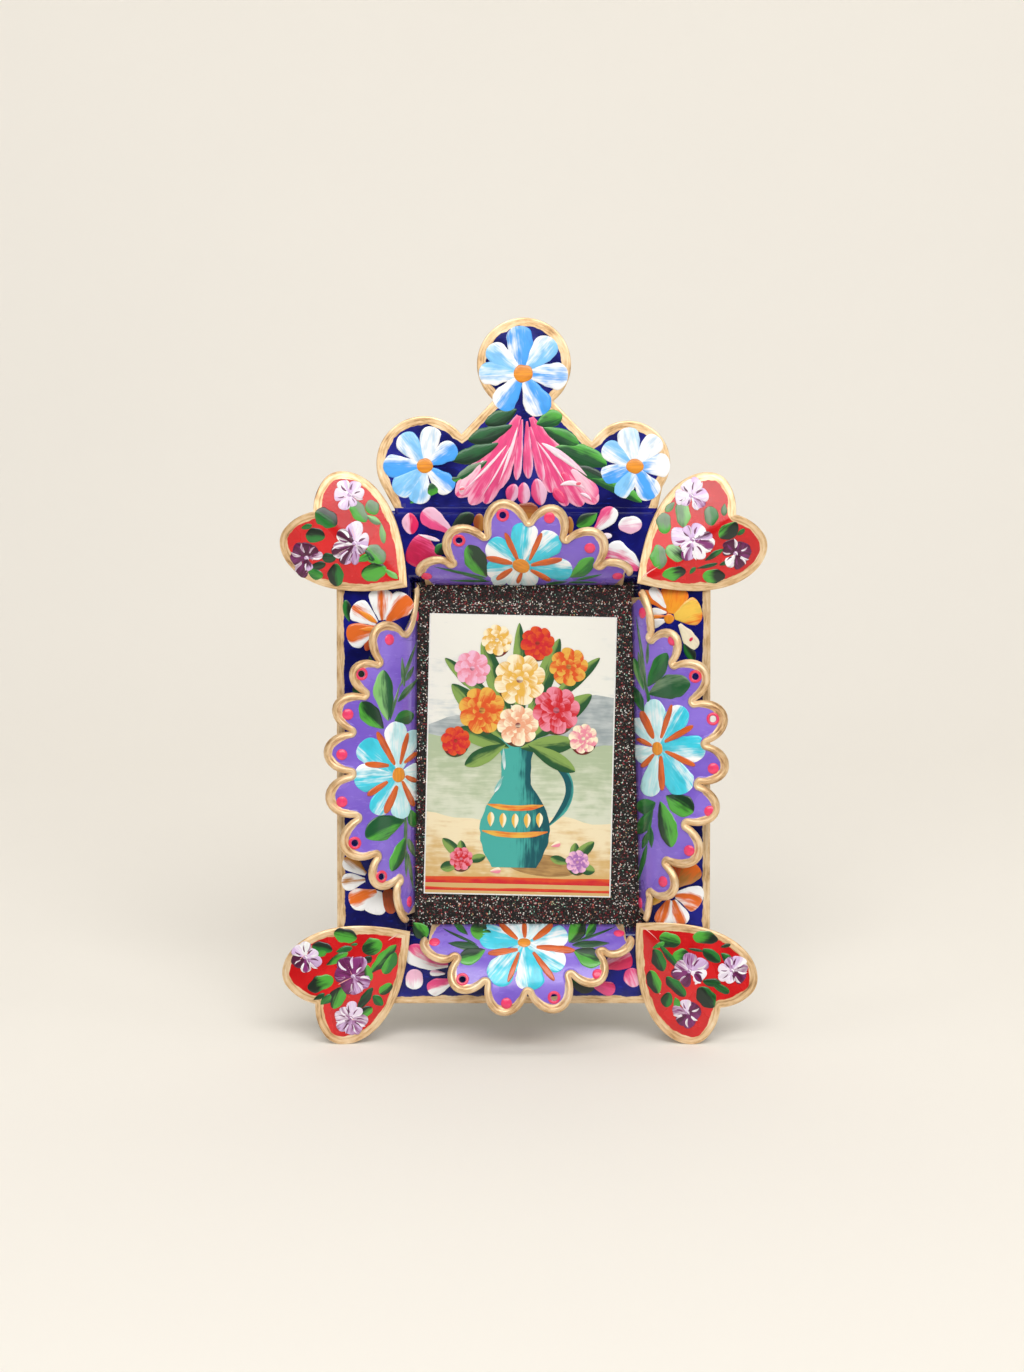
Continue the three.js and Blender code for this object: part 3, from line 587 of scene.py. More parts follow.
def bezier(points, count):
    """Points of a cubic curve, without its last one."""
    result = []
    for k in range(count):
        u = k / count
        weights = ((1 - u) ** 3, 3 * u * (1 - u) ** 2, 3 * u * u * (1 - u), u ** 3)
        result.append(tuple(sum(w * p[i] for w, p in zip(weights, points)) for i in (0, 1)))
    return result


def half_heart(count):
    """One side of a heart's outline from its tip to its notch, as three curves of count points each."""
    reach, wide = HEART_REACH, HEART_HALF_WIDTH
    shoulder, middle = 0.72 * reach, 0.55 * wide
    return [
        *bezier([(0, 0), (0.18 * reach, 0.46 * wide), (0.44 * reach, wide), (shoulder, wide)], count),
        *bezier([(shoulder, wide), (0.87 * reach, wide), (reach, 0.82 * wide), (reach, middle)], count),
        *bezier([(reach, middle), (reach, 0.33 * wide), (0.96 * reach, 0.14 * wide), (HEART_LENGTH, 0)],
                count),
        (HEART_LENGTH, 0),
    ]


def lengths_along(outline):
    """The distance of each point of an outline from its first one, along the outline."""
    runs = [0.0]
    for before, after in zip(outline, outline[1:]):
        runs.append(runs[-1] + math.dist(before, after))
    return runs


def distances(places, outline):
    """The distance of each place from the nearest point of an outline, both flat."""
    places, outline = np.array(places, float), np.array(outline, float)
    gaps = places[:, None, :] - outline[None, :, :]
    return np.sqrt((gaps ** 2).sum(axis=2)).min(axis=1)


def build_heart(heart):
    """Front sheet, rounded rim and back sheet, as columns that run from one side's rim to the other's."""
    outline = half_heart(HEART_STEPS)
    insets = [0.1, 0.22, 0.35, 0.5, 0.66, 0.82]
    least_inset = 0.2
    last = len(outline) - 1
    runs = lengths_along(outline)
    rim = [(0.16, -HALF_TIN), (0.05, -0.17), (0, 0), (0.05, 0.17), (0.16, HALF_TIN)]
    points, marks, run_marks = [], [], []
    for i, (along, across) in enumerate(outline):
        spine = HEART_LENGTH * i / last
        length = max(math.hypot(along - spine, across), 1e-6)
        ring = []
        for side in (1, -1):
            half = []
            for gap, lift in rim:
                share = min(gap / length, 1)
                half.append((share, lift, side))
            for share in insets:
                half.append((max(share, min(least_inset / length, 1)), HALF_TIN, side))
            ring.append(half)
        front = ring[0] + [(1, HALF_TIN, 1)] + ring[1][::-1]
        back = [(share, -HALF_TIN, -1) for share in insets] + [(1, -HALF_TIN, 1)]
        back += [(share, -HALF_TIN, 1) for share in insets[::-1]]
        for share, lift, side in front + back:
            place = (along + (spine - along) * share, side * across * (1 - share))
            points.append(heart.raised(*place, lift))
            marks.append((place[0], abs(place[1])))
            run_marks.append(runs[i])
    count = len(front) + len(back)
    faces = skin(last + 1, count, ring=True)
    edges = distances(marks, half_heart(200))
    tin_piece("tin_" + heart.name, heart.name, SCARLET, points, faces, edges, run_marks,
              lambda index: index % count >= len(front))


def lowest(heart):
    """How low a heart's outline reaches, in millimetres of the world's height."""
    heights = []
    for along, across in half_heart(HEART_STEPS):
        for side in (1, -1):
            for lift in (-HALF_TIN, HALF_TIN):
                heights.append((PLACE @ (Vector(heart.raised(along, side * across, lift)) * MM)).z)
    return min(heights) / MM


def level_feet(*feet):
    """The hearts that the frame stands on are moved up or down to the same level."""
    floor = sum(lowest(heart) for heart in feet) / len(feet)
    for heart in feet:
        shift = (floor - lowest(heart)) / math.cos(LEAN)
        heart.tip = (heart.tip[0], heart.tip[1] + shift)


def inward_of(lobe, angle):
    """The direction into the sheet at a lobe's rim, which the angle goes round from 0 to half a turn."""
    _, _, chord, outward, bulge = lobe
    tangent = (chord * (math.sin(angle) / 2) + outward * (bulge * math.cos(angle))).normalized()
    return Vector((tangent.y, -tangent.x))


def turned(vector, angle):
    cosine, sine = math.cos(angle), math.sin(angle)
    return Vector((cosine * vector.x - sine * vector.y, sine * vector.x + cosine * vector.y))


def fan_columns(fan, lobe_steps=14, notch_steps=9):
    """Root, inner edge of the bead, rim and paint pinch of each column of the flat fan."""
    lobes = fan.lobes()
    last = len(lobes) - 1
    webs = []
    for i in range(last):
        first, second = inward_of(lobes[i], math.pi), inward_of(lobes[i + 1], 0)
        sweep = (math.atan2(second.y, second.x) - math.atan2(first.y, first.x)) % (2 * math.pi)
        webs.append((lobes[i][1], first, sweep))

    def web(i, share):
        """Inward direction round a notch, and the point of the web behind it, at a share of its sweep."""
        notch, first, sweep = webs[i]
        back = turned(first, sweep * (0.5 + 0.5 * (share - 0.5)))
        return turned(first, sweep * share), notch + back * (BEAD_WIDTH + BEAD_WEB)

    columns = []
    for i, lobe in enumerate(lobes):
        start, end, chord, outward, bulge = lobe
        left = Vector((BEAD_WIDTH, 0)) if i == 0 else web(i - 1, 1)[1]
        right = Vector((fan.length - BEAD_WIDTH, 0)) if i == last else web(i, 0)[1]
        for step in range(lobe_steps + 1):
            angle = math.pi * step / lobe_steps
            share = (1 - math.cos(angle)) / 2
            rim = start + chord * share + outward * (bulge * math.sin(angle))
            inner = rim + inward_of(lobe, angle) * BEAD_WIDTH
            pinch = 1 + NOTCH_PINCH * (1 - math.sin(angle)) ** 2
            columns.append((left.lerp(right, share), inner, rim, pinch))
        if i == last:
            break
        for step in range(1, notch_steps + 1):
            inward, root = web(i, step / (notch_steps + 1))
            columns.append((root, end + inward * BEAD_WIDTH, end.copy(), 1 + NOTCH_PINCH))
    return columns


def bead(share):
    """Height of the bead from its inner edge, 0, to the rim, 1."""
    rise = min(share / BEAD_SOFT_START, 1)
    return BEAD_HEIGHT * math.sin(math.pi * share) * rise * rise * (3 - 2 * rise)


def fan_column(root, inner, rim, pinch):
    """Places of one column on the front sheet: flat place, lift and distance from the rim, times pinch."""
    bend_end = FAN_ROOT + FAN_BEND
    places = []
    levels = [0, min(0.5 * FAN_ROOT, root.y), min(FAN_ROOT, root.y), min(FAN_ROOT + FAN_BEND / 2, root.y)]
    body_rows = 14
    levels += [min(bend_end, root.y) + (root.y - min(bend_end, root.y)) * k / body_rows
               for k in range(body_rows + 1)]
    for level in levels:
        place = Vector((root.x, level))
        places.append((place, 0.0, pinch * (BEAD_WIDTH + (place - inner).length)))
    lobe_rows = 4
    for k in range(1, lobe_rows + 1):
        place = root.lerp(inner, k / lobe_rows)
        places.append((place, 0.0, pinch * (BEAD_WIDTH + (place - inner).length)))
    bead_rows = 10
    for k in range(1, bead_rows + 1):
        share = k / bead_rows
        place = inner.lerp(rim, share)
        places.append((place, bead(share), pinch * BEAD_WIDTH * (1 - share)))
    return places


def build_fan(fan):
    """Both sides of the curled sheet, with its bead and holes, from the columns of the flat fan."""
    columns = [fan_column(*column) for column in fan_columns(fan)]
    rows = len(columns[0])
    run = 0.0
    points, edges, runs = [], [], []
    for i, column in enumerate(columns):
        if i:
            run += (column[-1][0] - columns[i - 1][-1][0]).length + 0.02
        for place, lift, edge in column:
            points.append(fan.bent(place.x, place.y, lift + HALF_TIN))
            edges.append(min(edge, fan.end_gap(place)))
            runs.append(run)
        for place, lift, edge in reversed(column):
            points.append(fan.bent(place.x, place.y, lift - HALF_TIN))
            edges.append(edge)
            runs.append(run)
    count = 2 * rows
    faces = skin(len(columns), count, ring=True, flip=True)
    base = (len(columns) - 1) * count
    for k in range(rows - 1):
        faces.append((k, k + 1, count - 2 - k, count - 1 - k))
        faces.append((base + k + 1, base + k, base + count - 1 - k, base + count - 2 - k))
    piece = make_object("tin_" + fan.name, points, faces, [LAVENDER, TIN_SHEET], body=None)
    bare_faces(piece, lambda index: index % count >= rows)
    tree = kdtree.KDTree(len(points))
    for index, vertex in enumerate(piece.data.vertices):
        tree.insert(vertex.co, index)
    tree.balance()
    merge_points(piece.data)
    cut_holes(piece, fan)
    nearest = [tree.find(vertex.co)[1] for vertex in piece.data.vertices]
    edge_marks(piece.data, [edges[i] for i in nearest], [runs[i] for i in nearest])
    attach(piece, "frame")
    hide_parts(fan.name)


def merge_points(mesh):
    """Joins points that lie on each other, so that the surface shades evenly across them."""
    shape = bmesh.new()
    shape.from_mesh(mesh)
    bmesh.ops.remove_doubles(shape, verts=shape.verts, dist=0.001 * MM)
    shape.to_mesh(mesh)
    shape.free()


def cut_holes(piece, fan):
    """Punches the fan's open holes."""
    points, faces = [], []
    sides, reach = 24, 1.5
    for place in fan.hole_places():
        first = len(points)
        for lift in (-reach, reach):
            for k in range(sides):
                angle = 2 * math.pi * k / sides
                spot = place + Vector((math.cos(angle), math.sin(angle))) * HOLE_RADIUS
                points.append(fan.bent(spot.x, spot.y, lift))
        faces.append(tuple(range(first + sides - 1, first - 1, -1)))
        faces.append(tuple(range(first + sides, first + 2 * sides)))
        faces += skin(2, sides, first, ring=True)
    punch = make_object("punch", points, faces, [TIN_SHEET], body=None)
    modifier = piece.modifiers.new("holes", "BOOLEAN")
    modifier.operation = "DIFFERENCE"
    modifier.solver = "EXACT"
    modifier.object = punch
    bpy.context.view_layer.update()
    graph = bpy.context.evaluated_depsgraph_get()
    cut = bpy.data.meshes.new_from_object(piece.evaluated_get(graph))
    piece.modifiers.clear()
    piece.data = cut
    bpy.data.objects.remove(punch)


# Tray

def between(first, last, share):
    """The point at this share of the way from the first to the last."""
    return tuple(a + (b - a) * share for a, b in zip(first, last))


def rounded_loop(corners, inset, radius, y, side_steps, arc_steps=6):
    """A closed loop round four corners, listed clockwise as the viewer sees them."""
    signs = [(1, 1), (1, -1), (-1, -1), (-1, 1)]
    starts = [math.pi * 1.5, math.pi, math.pi / 2, 0]
    arcs = []
    for (x, z), (right, up), start in zip(corners, signs, starts):
        centre_x, centre_z = x + right * (inset + radius), z + up * (inset + radius)
        arc = []
        for k in range(arc_steps + 1):
            angle = start - math.pi / 2 * k / arc_steps
            arc.append((centre_x + radius * math.cos(angle), y, centre_z + radius * math.sin(angle)))
        arcs.append(arc)
    points = []
    for arc, following in zip(arcs, arcs[1:] + arcs[:1]):
        points += arc
        points += [between(arc[-1], following[0], k / side_steps) for k in range(1, side_steps)]
    return points


def build_tray():
    """A ring of loops: up the outer side, over the face, down the window wall and back inside the tin."""
    half = BORDER_WIDTH / 2
    corners = [(-half, 0), (-half, BORDER_HEIGHT), (half, BORDER_HEIGHT), (half, 0)]
    side_steps, face_steps, fold_steps = 24, 10, 5

    def outside(inset, y):
        return rounded_loop(corners, inset, CORNER_RADIUS, y, side_steps)

    def window(inset, y):
        return rounded_loop(WINDOW, inset, WINDOW_RADIUS, y, side_steps)

    loops = [outside(0, y) for y in (BORDER_DEPTH, 7.5, 5, 2.5, FOLD_RADIUS)]
    for k in range(1, fold_steps + 1):
        angle = math.pi / 2 * k / fold_steps
        loops.append(outside(FOLD_RADIUS * (1 - math.cos(angle)), FOLD_RADIUS * (1 - math.sin(angle))))
    rim, sill = outside(FOLD_RADIUS, 0), window(-0.7, 0)
    for k in range(1, face_steps):
        loops.append([between(a, b, k / face_steps) for a, b in zip(rim, sill)])
    loops += [window(inset, y) for inset, y in (
        (-0.7, 0), (-0.35, 0.06), (-0.05, 0.3), (0.12, 0.75), (RECESS_DRAFT, RECESS_DEPTH),
        (RECESS_DRAFT - 0.52, RECESS_DEPTH), (-0.4, 0.8), (-1.0, TIN))]
    count = len(loops[0])
    first_inside = len(loops) * count
    loops += [outside(inset, y) for inset, y in (
        (TIN + 0.1, TIN), (TIN, TIN + 0.5), (TIN, 5), (TIN, BORDER_DEPTH))]
    points = [point for loop in loops for point in loop]
    faces = skin(len(loops) + 1, count, ring=True)
    faces = [tuple(index % len(points) for index in face) for face in faces]
    edges = [min(half - abs(x), z) + 0.6 * y for x, y, z in points]
    runs = [z if half - abs(x) < z else x for x, y, z in points]
    tin_piece("tin_tray", "border_frame", COBALT, points, faces, edges, runs,
              lambda index: index >= first_inside)


# Crest

CREST_BASE = BORDER_HEIGHT + SEAT
CREST_LEAN = 3
CREST_ENDS = (-34.7, 36)
# Each lobe's middle, radius, and the angles where its arc starts and ends
CREST_LOBES = [(-26.9, 12.4, 12.8, 212, 38), (0.1, 39.2, 12.7, 229.5, -51.5), (28.2, 12.7, 11.3, 150, -35)]
CREST_FOOT = (29, 6)

# Profile of the seam between crest and tray, as height over the crest's base and depth
CREST_SEAM = [(-1.8, 0.3), (-1.8, 0.02), (-0.6, -0.006), (0, -0.012), (0.4, 0.01), (0.8, 0.07),
              (1.2, 0.2), (1.2, 0.4)]

# A distance from the edge that no gold paint reaches
FAR_FROM_GOLD = 9


def crest_outline():
    """The crest's upper outline from its left end to its right end, above its base."""
    lobe_steps, longest = 60, 0.8
    corners = [(CREST_ENDS[0], 0)]
    for x, high, radius, start, end in CREST_LOBES:
        for k in range(lobe_steps + 1):
            angle = math.radians(start + (end - start) * k / lobe_steps)
            corners.append((x + radius * math.cos(angle), high + radius * math.sin(angle)))
    corners.append((CREST_ENDS[1], 0))
    dense = [corners[0]]
    for point in corners[1:]:
        last = dense[-1]
        parts = max(1, round(math.dist(last, point) / longest))
        dense += [between(last, point, k / parts) for k in range(1, parts + 1)]
    return dense


class Shell:
    """A piece in the making: points, each with its distance from the gold edge and place along it."""

    def __init__(self):
        self.points, self.edges, self.runs, self.faces = [], [], [], []

    def add(self, point, edge, run):
        self.points.append(point)
        self.edges.append(edge)
        self.runs.append(run)


def crest_sheet(shell):
    """The lobed sheet. Its back starts at the point whose number this returns."""
    outline = crest_outline()
    count = len(outline)
    inward = []
    for i in range(count):
        before, after = outline[max(i - 1, 0)], outline[min(i + 1, count - 1)]
        tangent = Vector((after[0] - before[0], after[1] - before[1])).normalized()
        inward.append(Vector((tangent.y, -tangent.x)))
    runs = lengths_along(outline)
    face = Plane(0, CREST_BASE, CREST_LEAN)
    front = [(0.0, -0.16), (0.03, -0.07)] + [(inset, 0.0) for inset in (0.14, 0.5, 1.0, 1.6, 2.3, 3.0, 3.8)]
    back = [(0.0, -0.34), (0.03, -0.43), (0.14, -0.5), (3.8, -0.5)]
    for inset, lift in front + back:
        for i, (x, z) in enumerate(outline):
            raised = 0 if i in (0, count - 1) else max(z + inward[i].y * inset, 0)
            high = CREST_BASE + raised * math.cos(face.lean)
            shell.add(face.at(x + inward[i].x * inset, high, lift), inset, runs[i])
    faces = shell.faces
    faces += skin(len(front), count)

    def strip(a, b):
        for i in range(count - 1):
            faces.append((a * count + i, a * count + i + 1, b * count + i + 1, b * count + i))

    first_back, last_front = len(front), len(front) - 1
    last_back = last_front + len(back)
    faces.append(tuple(last_front * count + i for i in range(count)))
    strip(first_back, 0)
    for k in range(first_back, last_back):
        strip(k + 1, k)
    faces.append(tuple(last_back * count + i for i in reversed(range(count))))
    order = list(range(last_front, -1, -1)) + list(range(first_back, last_back + 1))
    faces.append(tuple(k * count for k in reversed(order)))
    faces.append(tuple(k * count + count - 1 for k in order))
    faces.append((last_front * count, last_back * count, last_back * count + count - 1,
                  last_front * count + count - 1))
    return first_back * count


def crest_foot(shell):
    """The flange that lies on the tray behind the crest."""
    first = len(shell.points)
    half, deep = CREST_FOOT
    for x in (-half, half):
        for y, z in ((0.25, 0), (deep, 0), (deep, TIN), (0.25, TIN)):
            shell.add((x, y, CREST_BASE + z), FAR_FROM_GOLD, 0)
    for quad in ((0, 1, 2, 3), (7, 6, 5, 4), (0, 4, 5, 1), (1, 5, 6, 2), (2, 6, 7, 3), (3, 7, 4, 0)):
        shell.faces.append(tuple(first + index for index in quad))


def crest_seam(shell):
    """The seam's slightly wavy bar, gold-painted at its two ends only."""
    first, sides, steps = len(shell.points), len(CREST_SEAM), 40
    left, right = CREST_ENDS
    for i in range(steps + 1):
        x = left + (right - left) * i / steps
        for z, y in CREST_SEAM:
            wander = 0.1 * noise.noise(Vector((0.3 * x, z, 5)))
            edge = max(min(x - left, right - x), 0) if z > 0 else FAR_FROM_GOLD
            shell.add((x, y + 0.05 * wander, CREST_BASE + z + wander), edge, z)
    last = len(shell.points) - 1
    shell.faces += skin(steps + 1, sides, first, ring=True, flip=True)
    shell.faces.append(tuple(range(first, first + sides)))
    shell.faces.append(tuple(range(last, last - sides, -1)))


def build_crest():
    shell = Shell()
    back = crest_sheet(shell)
    foot = len(shell.points)
    crest_foot(shell)
    crest_seam(shell)
    tin_piece("tin_crest", "crest", CREST_COBALT, shell.points, shell.faces, shell.edges,
              shell.runs, lambda index: back <= index < foot)


# Brush strokes

# Half width of a stroke at a share u of its length
SHAPES = {
    "petal": lambda u: (0.14 + 0.86 * u) * math.sqrt(max(0.0, 1 - u ** 3.4)),
    "leaf": lambda u: math.sin(math.pi * u ** 1.3) ** 0.62,
    "spear": lambda u: (0.28 + u ** 0.7) * math.sqrt(1 - u ** 2.2),
    "broad": lambda u: math.sin(math.pi * u) ** 0.55,
    "sliver": lambda u: math.sin(math.pi * u ** 0.8) ** 0.9,
    "round": lambda u: math.sqrt(max(0.0, 1 - (2 * u - 1) ** 2)),
    "line": lambda u: min(1.0, 4 * u + 0.2, 4 * (1 - u) + 0.2),
    "jug": lambda u: 0.42 + 0.58 * math.sin(math.pi * min((u + 0.06) / 0.68, 1)) ** 0.8 + max(u - 0.84, 0),
}
TOPS = {name: max(shape(k / 200) for k in range(201)) for name, shape in SHAPES.items()}

# How the second colour of a stroke is spread: everywhere, along, across, and towards its edges
PLAIN = (0.0, 0.0, 0.0, 0.0)
STREAKED = (0.42, 0.1, 0.0, 0.0)
HALF = (0.5, 0.0, 0.75, 0.0)
OTHER_HALF = (0.5, 0.0, -0.75, 0.0)
EDGED = (-0.35, 0.1, 0.0, 1.25)
TIPPED = (-0.45, 1.5, 0.0, 0.0)
THIN_EDGE = (0.05, 0.0, 0.85, 0.0)

# A stroke lies this high at least, higher for each layer, and a little higher than the stroke before it
LEAST_LIFT = 0.03
LAYER_LIFT = 0.05
STROKE_LIFT = 0.0021
TURN = 24

# The rim of thick paint dips into the surface
SUNK = -0.06

# Step of the noise from stroke to stroke, spacing of a stroke's rows, and width above which it is wide
SEED_STEP = 3.7
ROW_STEP = 0.45
WIDE_STROKE = 3


class Painting:
    """All the brush strokes on one surface, as one mesh with their colours in its attributes."""

    def __init__(self, name, surface, relief=0.11, material=None, ragged=0.16):
        self.name, self.surface, self.relief, self.ragged = name, surface, relief, ragged
        self.material = material or STROKES
        self.points, self.faces = [], []
        self.first, self.second, self.shares, self.streaks = [], [], [], []
        self.count = 0

    def vertex(self, point, tones, share, streak):
        self.points.append(point)
        self.first.append(tones[0])
        self.second.append(tones[1])
        self.shares.append(share)
        self.streaks.append(streak)

    def stroke(self, x0, z0, x1, z1, width, tones, spread=STREAKED, shape="petal", layer=0, bend=0):
        """One stroke between two places. bend moves its middle sideways, as a share of its length."""
        start, end = Vector((x0, z0)), Vector((x1, z1))
        run = end - start
        length = max(run.length, 0.01)
        side = Vector((-run.y, run.x)) / length
        middle = (start + end) / 2 + side * (bend * length * 2)
        rows = {"round": 18, "jug": 44}.get(shape, max(12, min(26, round(length / ROW_STEP))))
        columns = 11 if width > WIDE_STROKE else 7
        first = len(self.points)
        lift = LEAST_LIFT + LAYER_LIFT * layer + STROKE_LIFT * (self.count % TURN)
        seed = self.count * SEED_STEP
        for i in range(rows + 1):
            u = (1 - math.cos(math.pi * i / rows)) / 2
            place = start * (1 - u) ** 2 + middle * (2 * u * (1 - u)) + end * u * u
            slope = (middle - start) * (1 - u) + (end - middle) * u
            normal = Vector((-slope.y, slope.x)).normalized()
            half = width / 2 * SHAPES[shape](u) / TOPS[shape]
            for k in range(columns):
                v = -math.cos(math.pi * k / (columns - 1))
                wander = noise.noise(Vector((u * 0.5 * length + seed, v * 1.3, seed)))
                reach = half * (1 + self.ragged * wander)
                spot = place + normal * (v * reach)
                dome = (1 - v ** 4) * (1 - (2 * u - 1) ** 8)
                on_rim = k in (0, columns - 1) or i in (0, rows)
                height = SUNK if self.relief and on_rim else lift + self.relief * dome
                share = spread[0] + spread[1] * u + spread[2] * v + spread[3] * abs(v)
                point = self.surface.at(spot.x, spot.y, height)
                self.vertex(point, tones, share, (u * length, v * reach, seed))
        self.faces += skin(rows + 1, columns, first, flip=True)
        self.count += 1

    def strokes(self, rows):
        """One stroke for each row of what stroke() takes."""
        for row in rows:
            self.stroke(*row)

    def many(self, rows, *paint):
        """Strokes alike in all but place and width, (x0, z0, x1, z1, width)."""
        for row in rows:
            self.stroke(*row, *paint)

    def rings(self, centre, radii, tones, share):
        """A round spot from rings of (radius, height)."""
        sides = 22
        first = len(self.points)
        seed = self.count * SEED_STEP
        for radius, height in radii:
            for k in range(sides):
                angle = 2 * math.pi * k / sides
                right, up = radius * math.cos(angle), radius * math.sin(angle)
                point = self.surface.near(*centre, right, up, height)
                self.vertex(point, tones, share, (angle * 1.5, radius * 0.6, seed))
        self.faces += skin(len(radii), sides, first, ring=True)
        self.count += 1

    def dots(self, *places):
        """Drops of thick paint."""
        radius, high, steps = 1.5, 0.42, 6
        radii = [(radius, SUNK)]
        for k in range(1, steps + 1):
            angle = math.pi / 2 * k / steps
            radii.append((max(radius * math.cos(angle), 0.01), high * math.sin(angle)))
        for place in places:
            self.rings(place, radii, DOT_PAINT, 0.3)

    def flower(self, centre, layer, petals):
        """Petals as (angle, length, width, colours, spread), angles in degrees from the right."""
        for angle, length, width, *paint in petals:
            direction = Vector((math.cos(math.radians(angle)), math.sin(math.radians(angle))))
            start = Vector(centre) + direction * 0.8
            end = Vector(centre) + direction * length
            self.stroke(*start, *end, width, *paint, layer=layer)

    def blossom(self, centre, petals):
        """Petals as (end x, end z, width, colours, spread) that start near the middle, and its dabs."""
        centre = Vector(centre)
        for x, z, width, *paint in petals:
            tip = Vector((x, z))
            bend = 0.1 * math.sin(2.4 * self.count)
            self.stroke(*centre.lerp(tip, 0.08), *tip, width * 0.94, *paint, layer=1, bend=bend)
        for x, z, width, tones, *_ in petals:
            tip = Vector((x, z))
            run = tip - centre
            side = Vector((-run.y, run.x)).normalized() * width
            turn = 1 if math.sin(3.1 * self.count) > 0 else -1
            light = (WHITE, tones[1] if tones[1] is not PLUM else LILAC)
            first = centre.lerp(tip, 0.35) + side * (0.1 * turn)
            last = centre.lerp(tip, 0.95) + side * (0.28 * turn)
            self.stroke(*first, *last, 0.22 * width, light, STREAKED, "sliver", 2, 0.16 * turn)
            first = centre.lerp(tip, 0.3) - side * (0.06 * turn)
            last = centre.lerp(tip, 0.8) - side * (0.2 * turn)
            self.stroke(*first, *last, 0.16 * width, DARK_BLOSSOM, STREAKED, "sliver", 2, -0.1 * turn)
        for x0, z0, x1, z1, width, *paint in (
                (-0.55, -0.2, 0.6, 0.3, 1.2, (LILAC, PURPLE), STREAKED, "round", 2, 0.1),
                (-0.3, 0.5, 0.5, -0.5, 0.45, (WHITE, LILAC), STREAKED, "sliver", 3, 0.2)):
            self.stroke(*(centre + Vector((x0, z0))), *(centre + Vector((x1, z1))), width, *paint)

    def finish(self, slot):
        piece = make_object(self.name, self.points, self.faces, [self.material])
        mesh = piece.data
        add_attribute(mesh, "tone_a", "FLOAT_COLOR", self.first)
        add_attribute(mesh, "tone_b", "FLOAT_COLOR", self.second)
        add_attribute(mesh, "share", "FLOAT", self.shares)
        add_attribute(mesh, "streak", "FLOAT_VECTOR", self.streaks)


LEAF = (PINE, LIME)
DEEP_LEAF = (MOSS, GREEN)
PALE_LEAF = (SAGE, MINT)
SEPAL = (linear(226, 104, 26), linear(186, 76, 24))
CYAN_WHITE = (CYAN, WHITE)
PALE_WHITE = (PALE_CYAN, WHITE)
KNOB = (AMBER, GOLDEN)
WHITE_LILAC = (MIST, LILAC)
DARK_BLOSSOM = (PLUM, PURPLE)
DOT_PAINT = (DOT_PINK, DOT_RED)
# Pale rose of the hearts' thin strokes; along a crease near the tip it is a painted highlight
ROSE_PALE_AND_CREASE_HIGHLIGHT = (linear(255, 214, 210), linear(240, 130, 128))


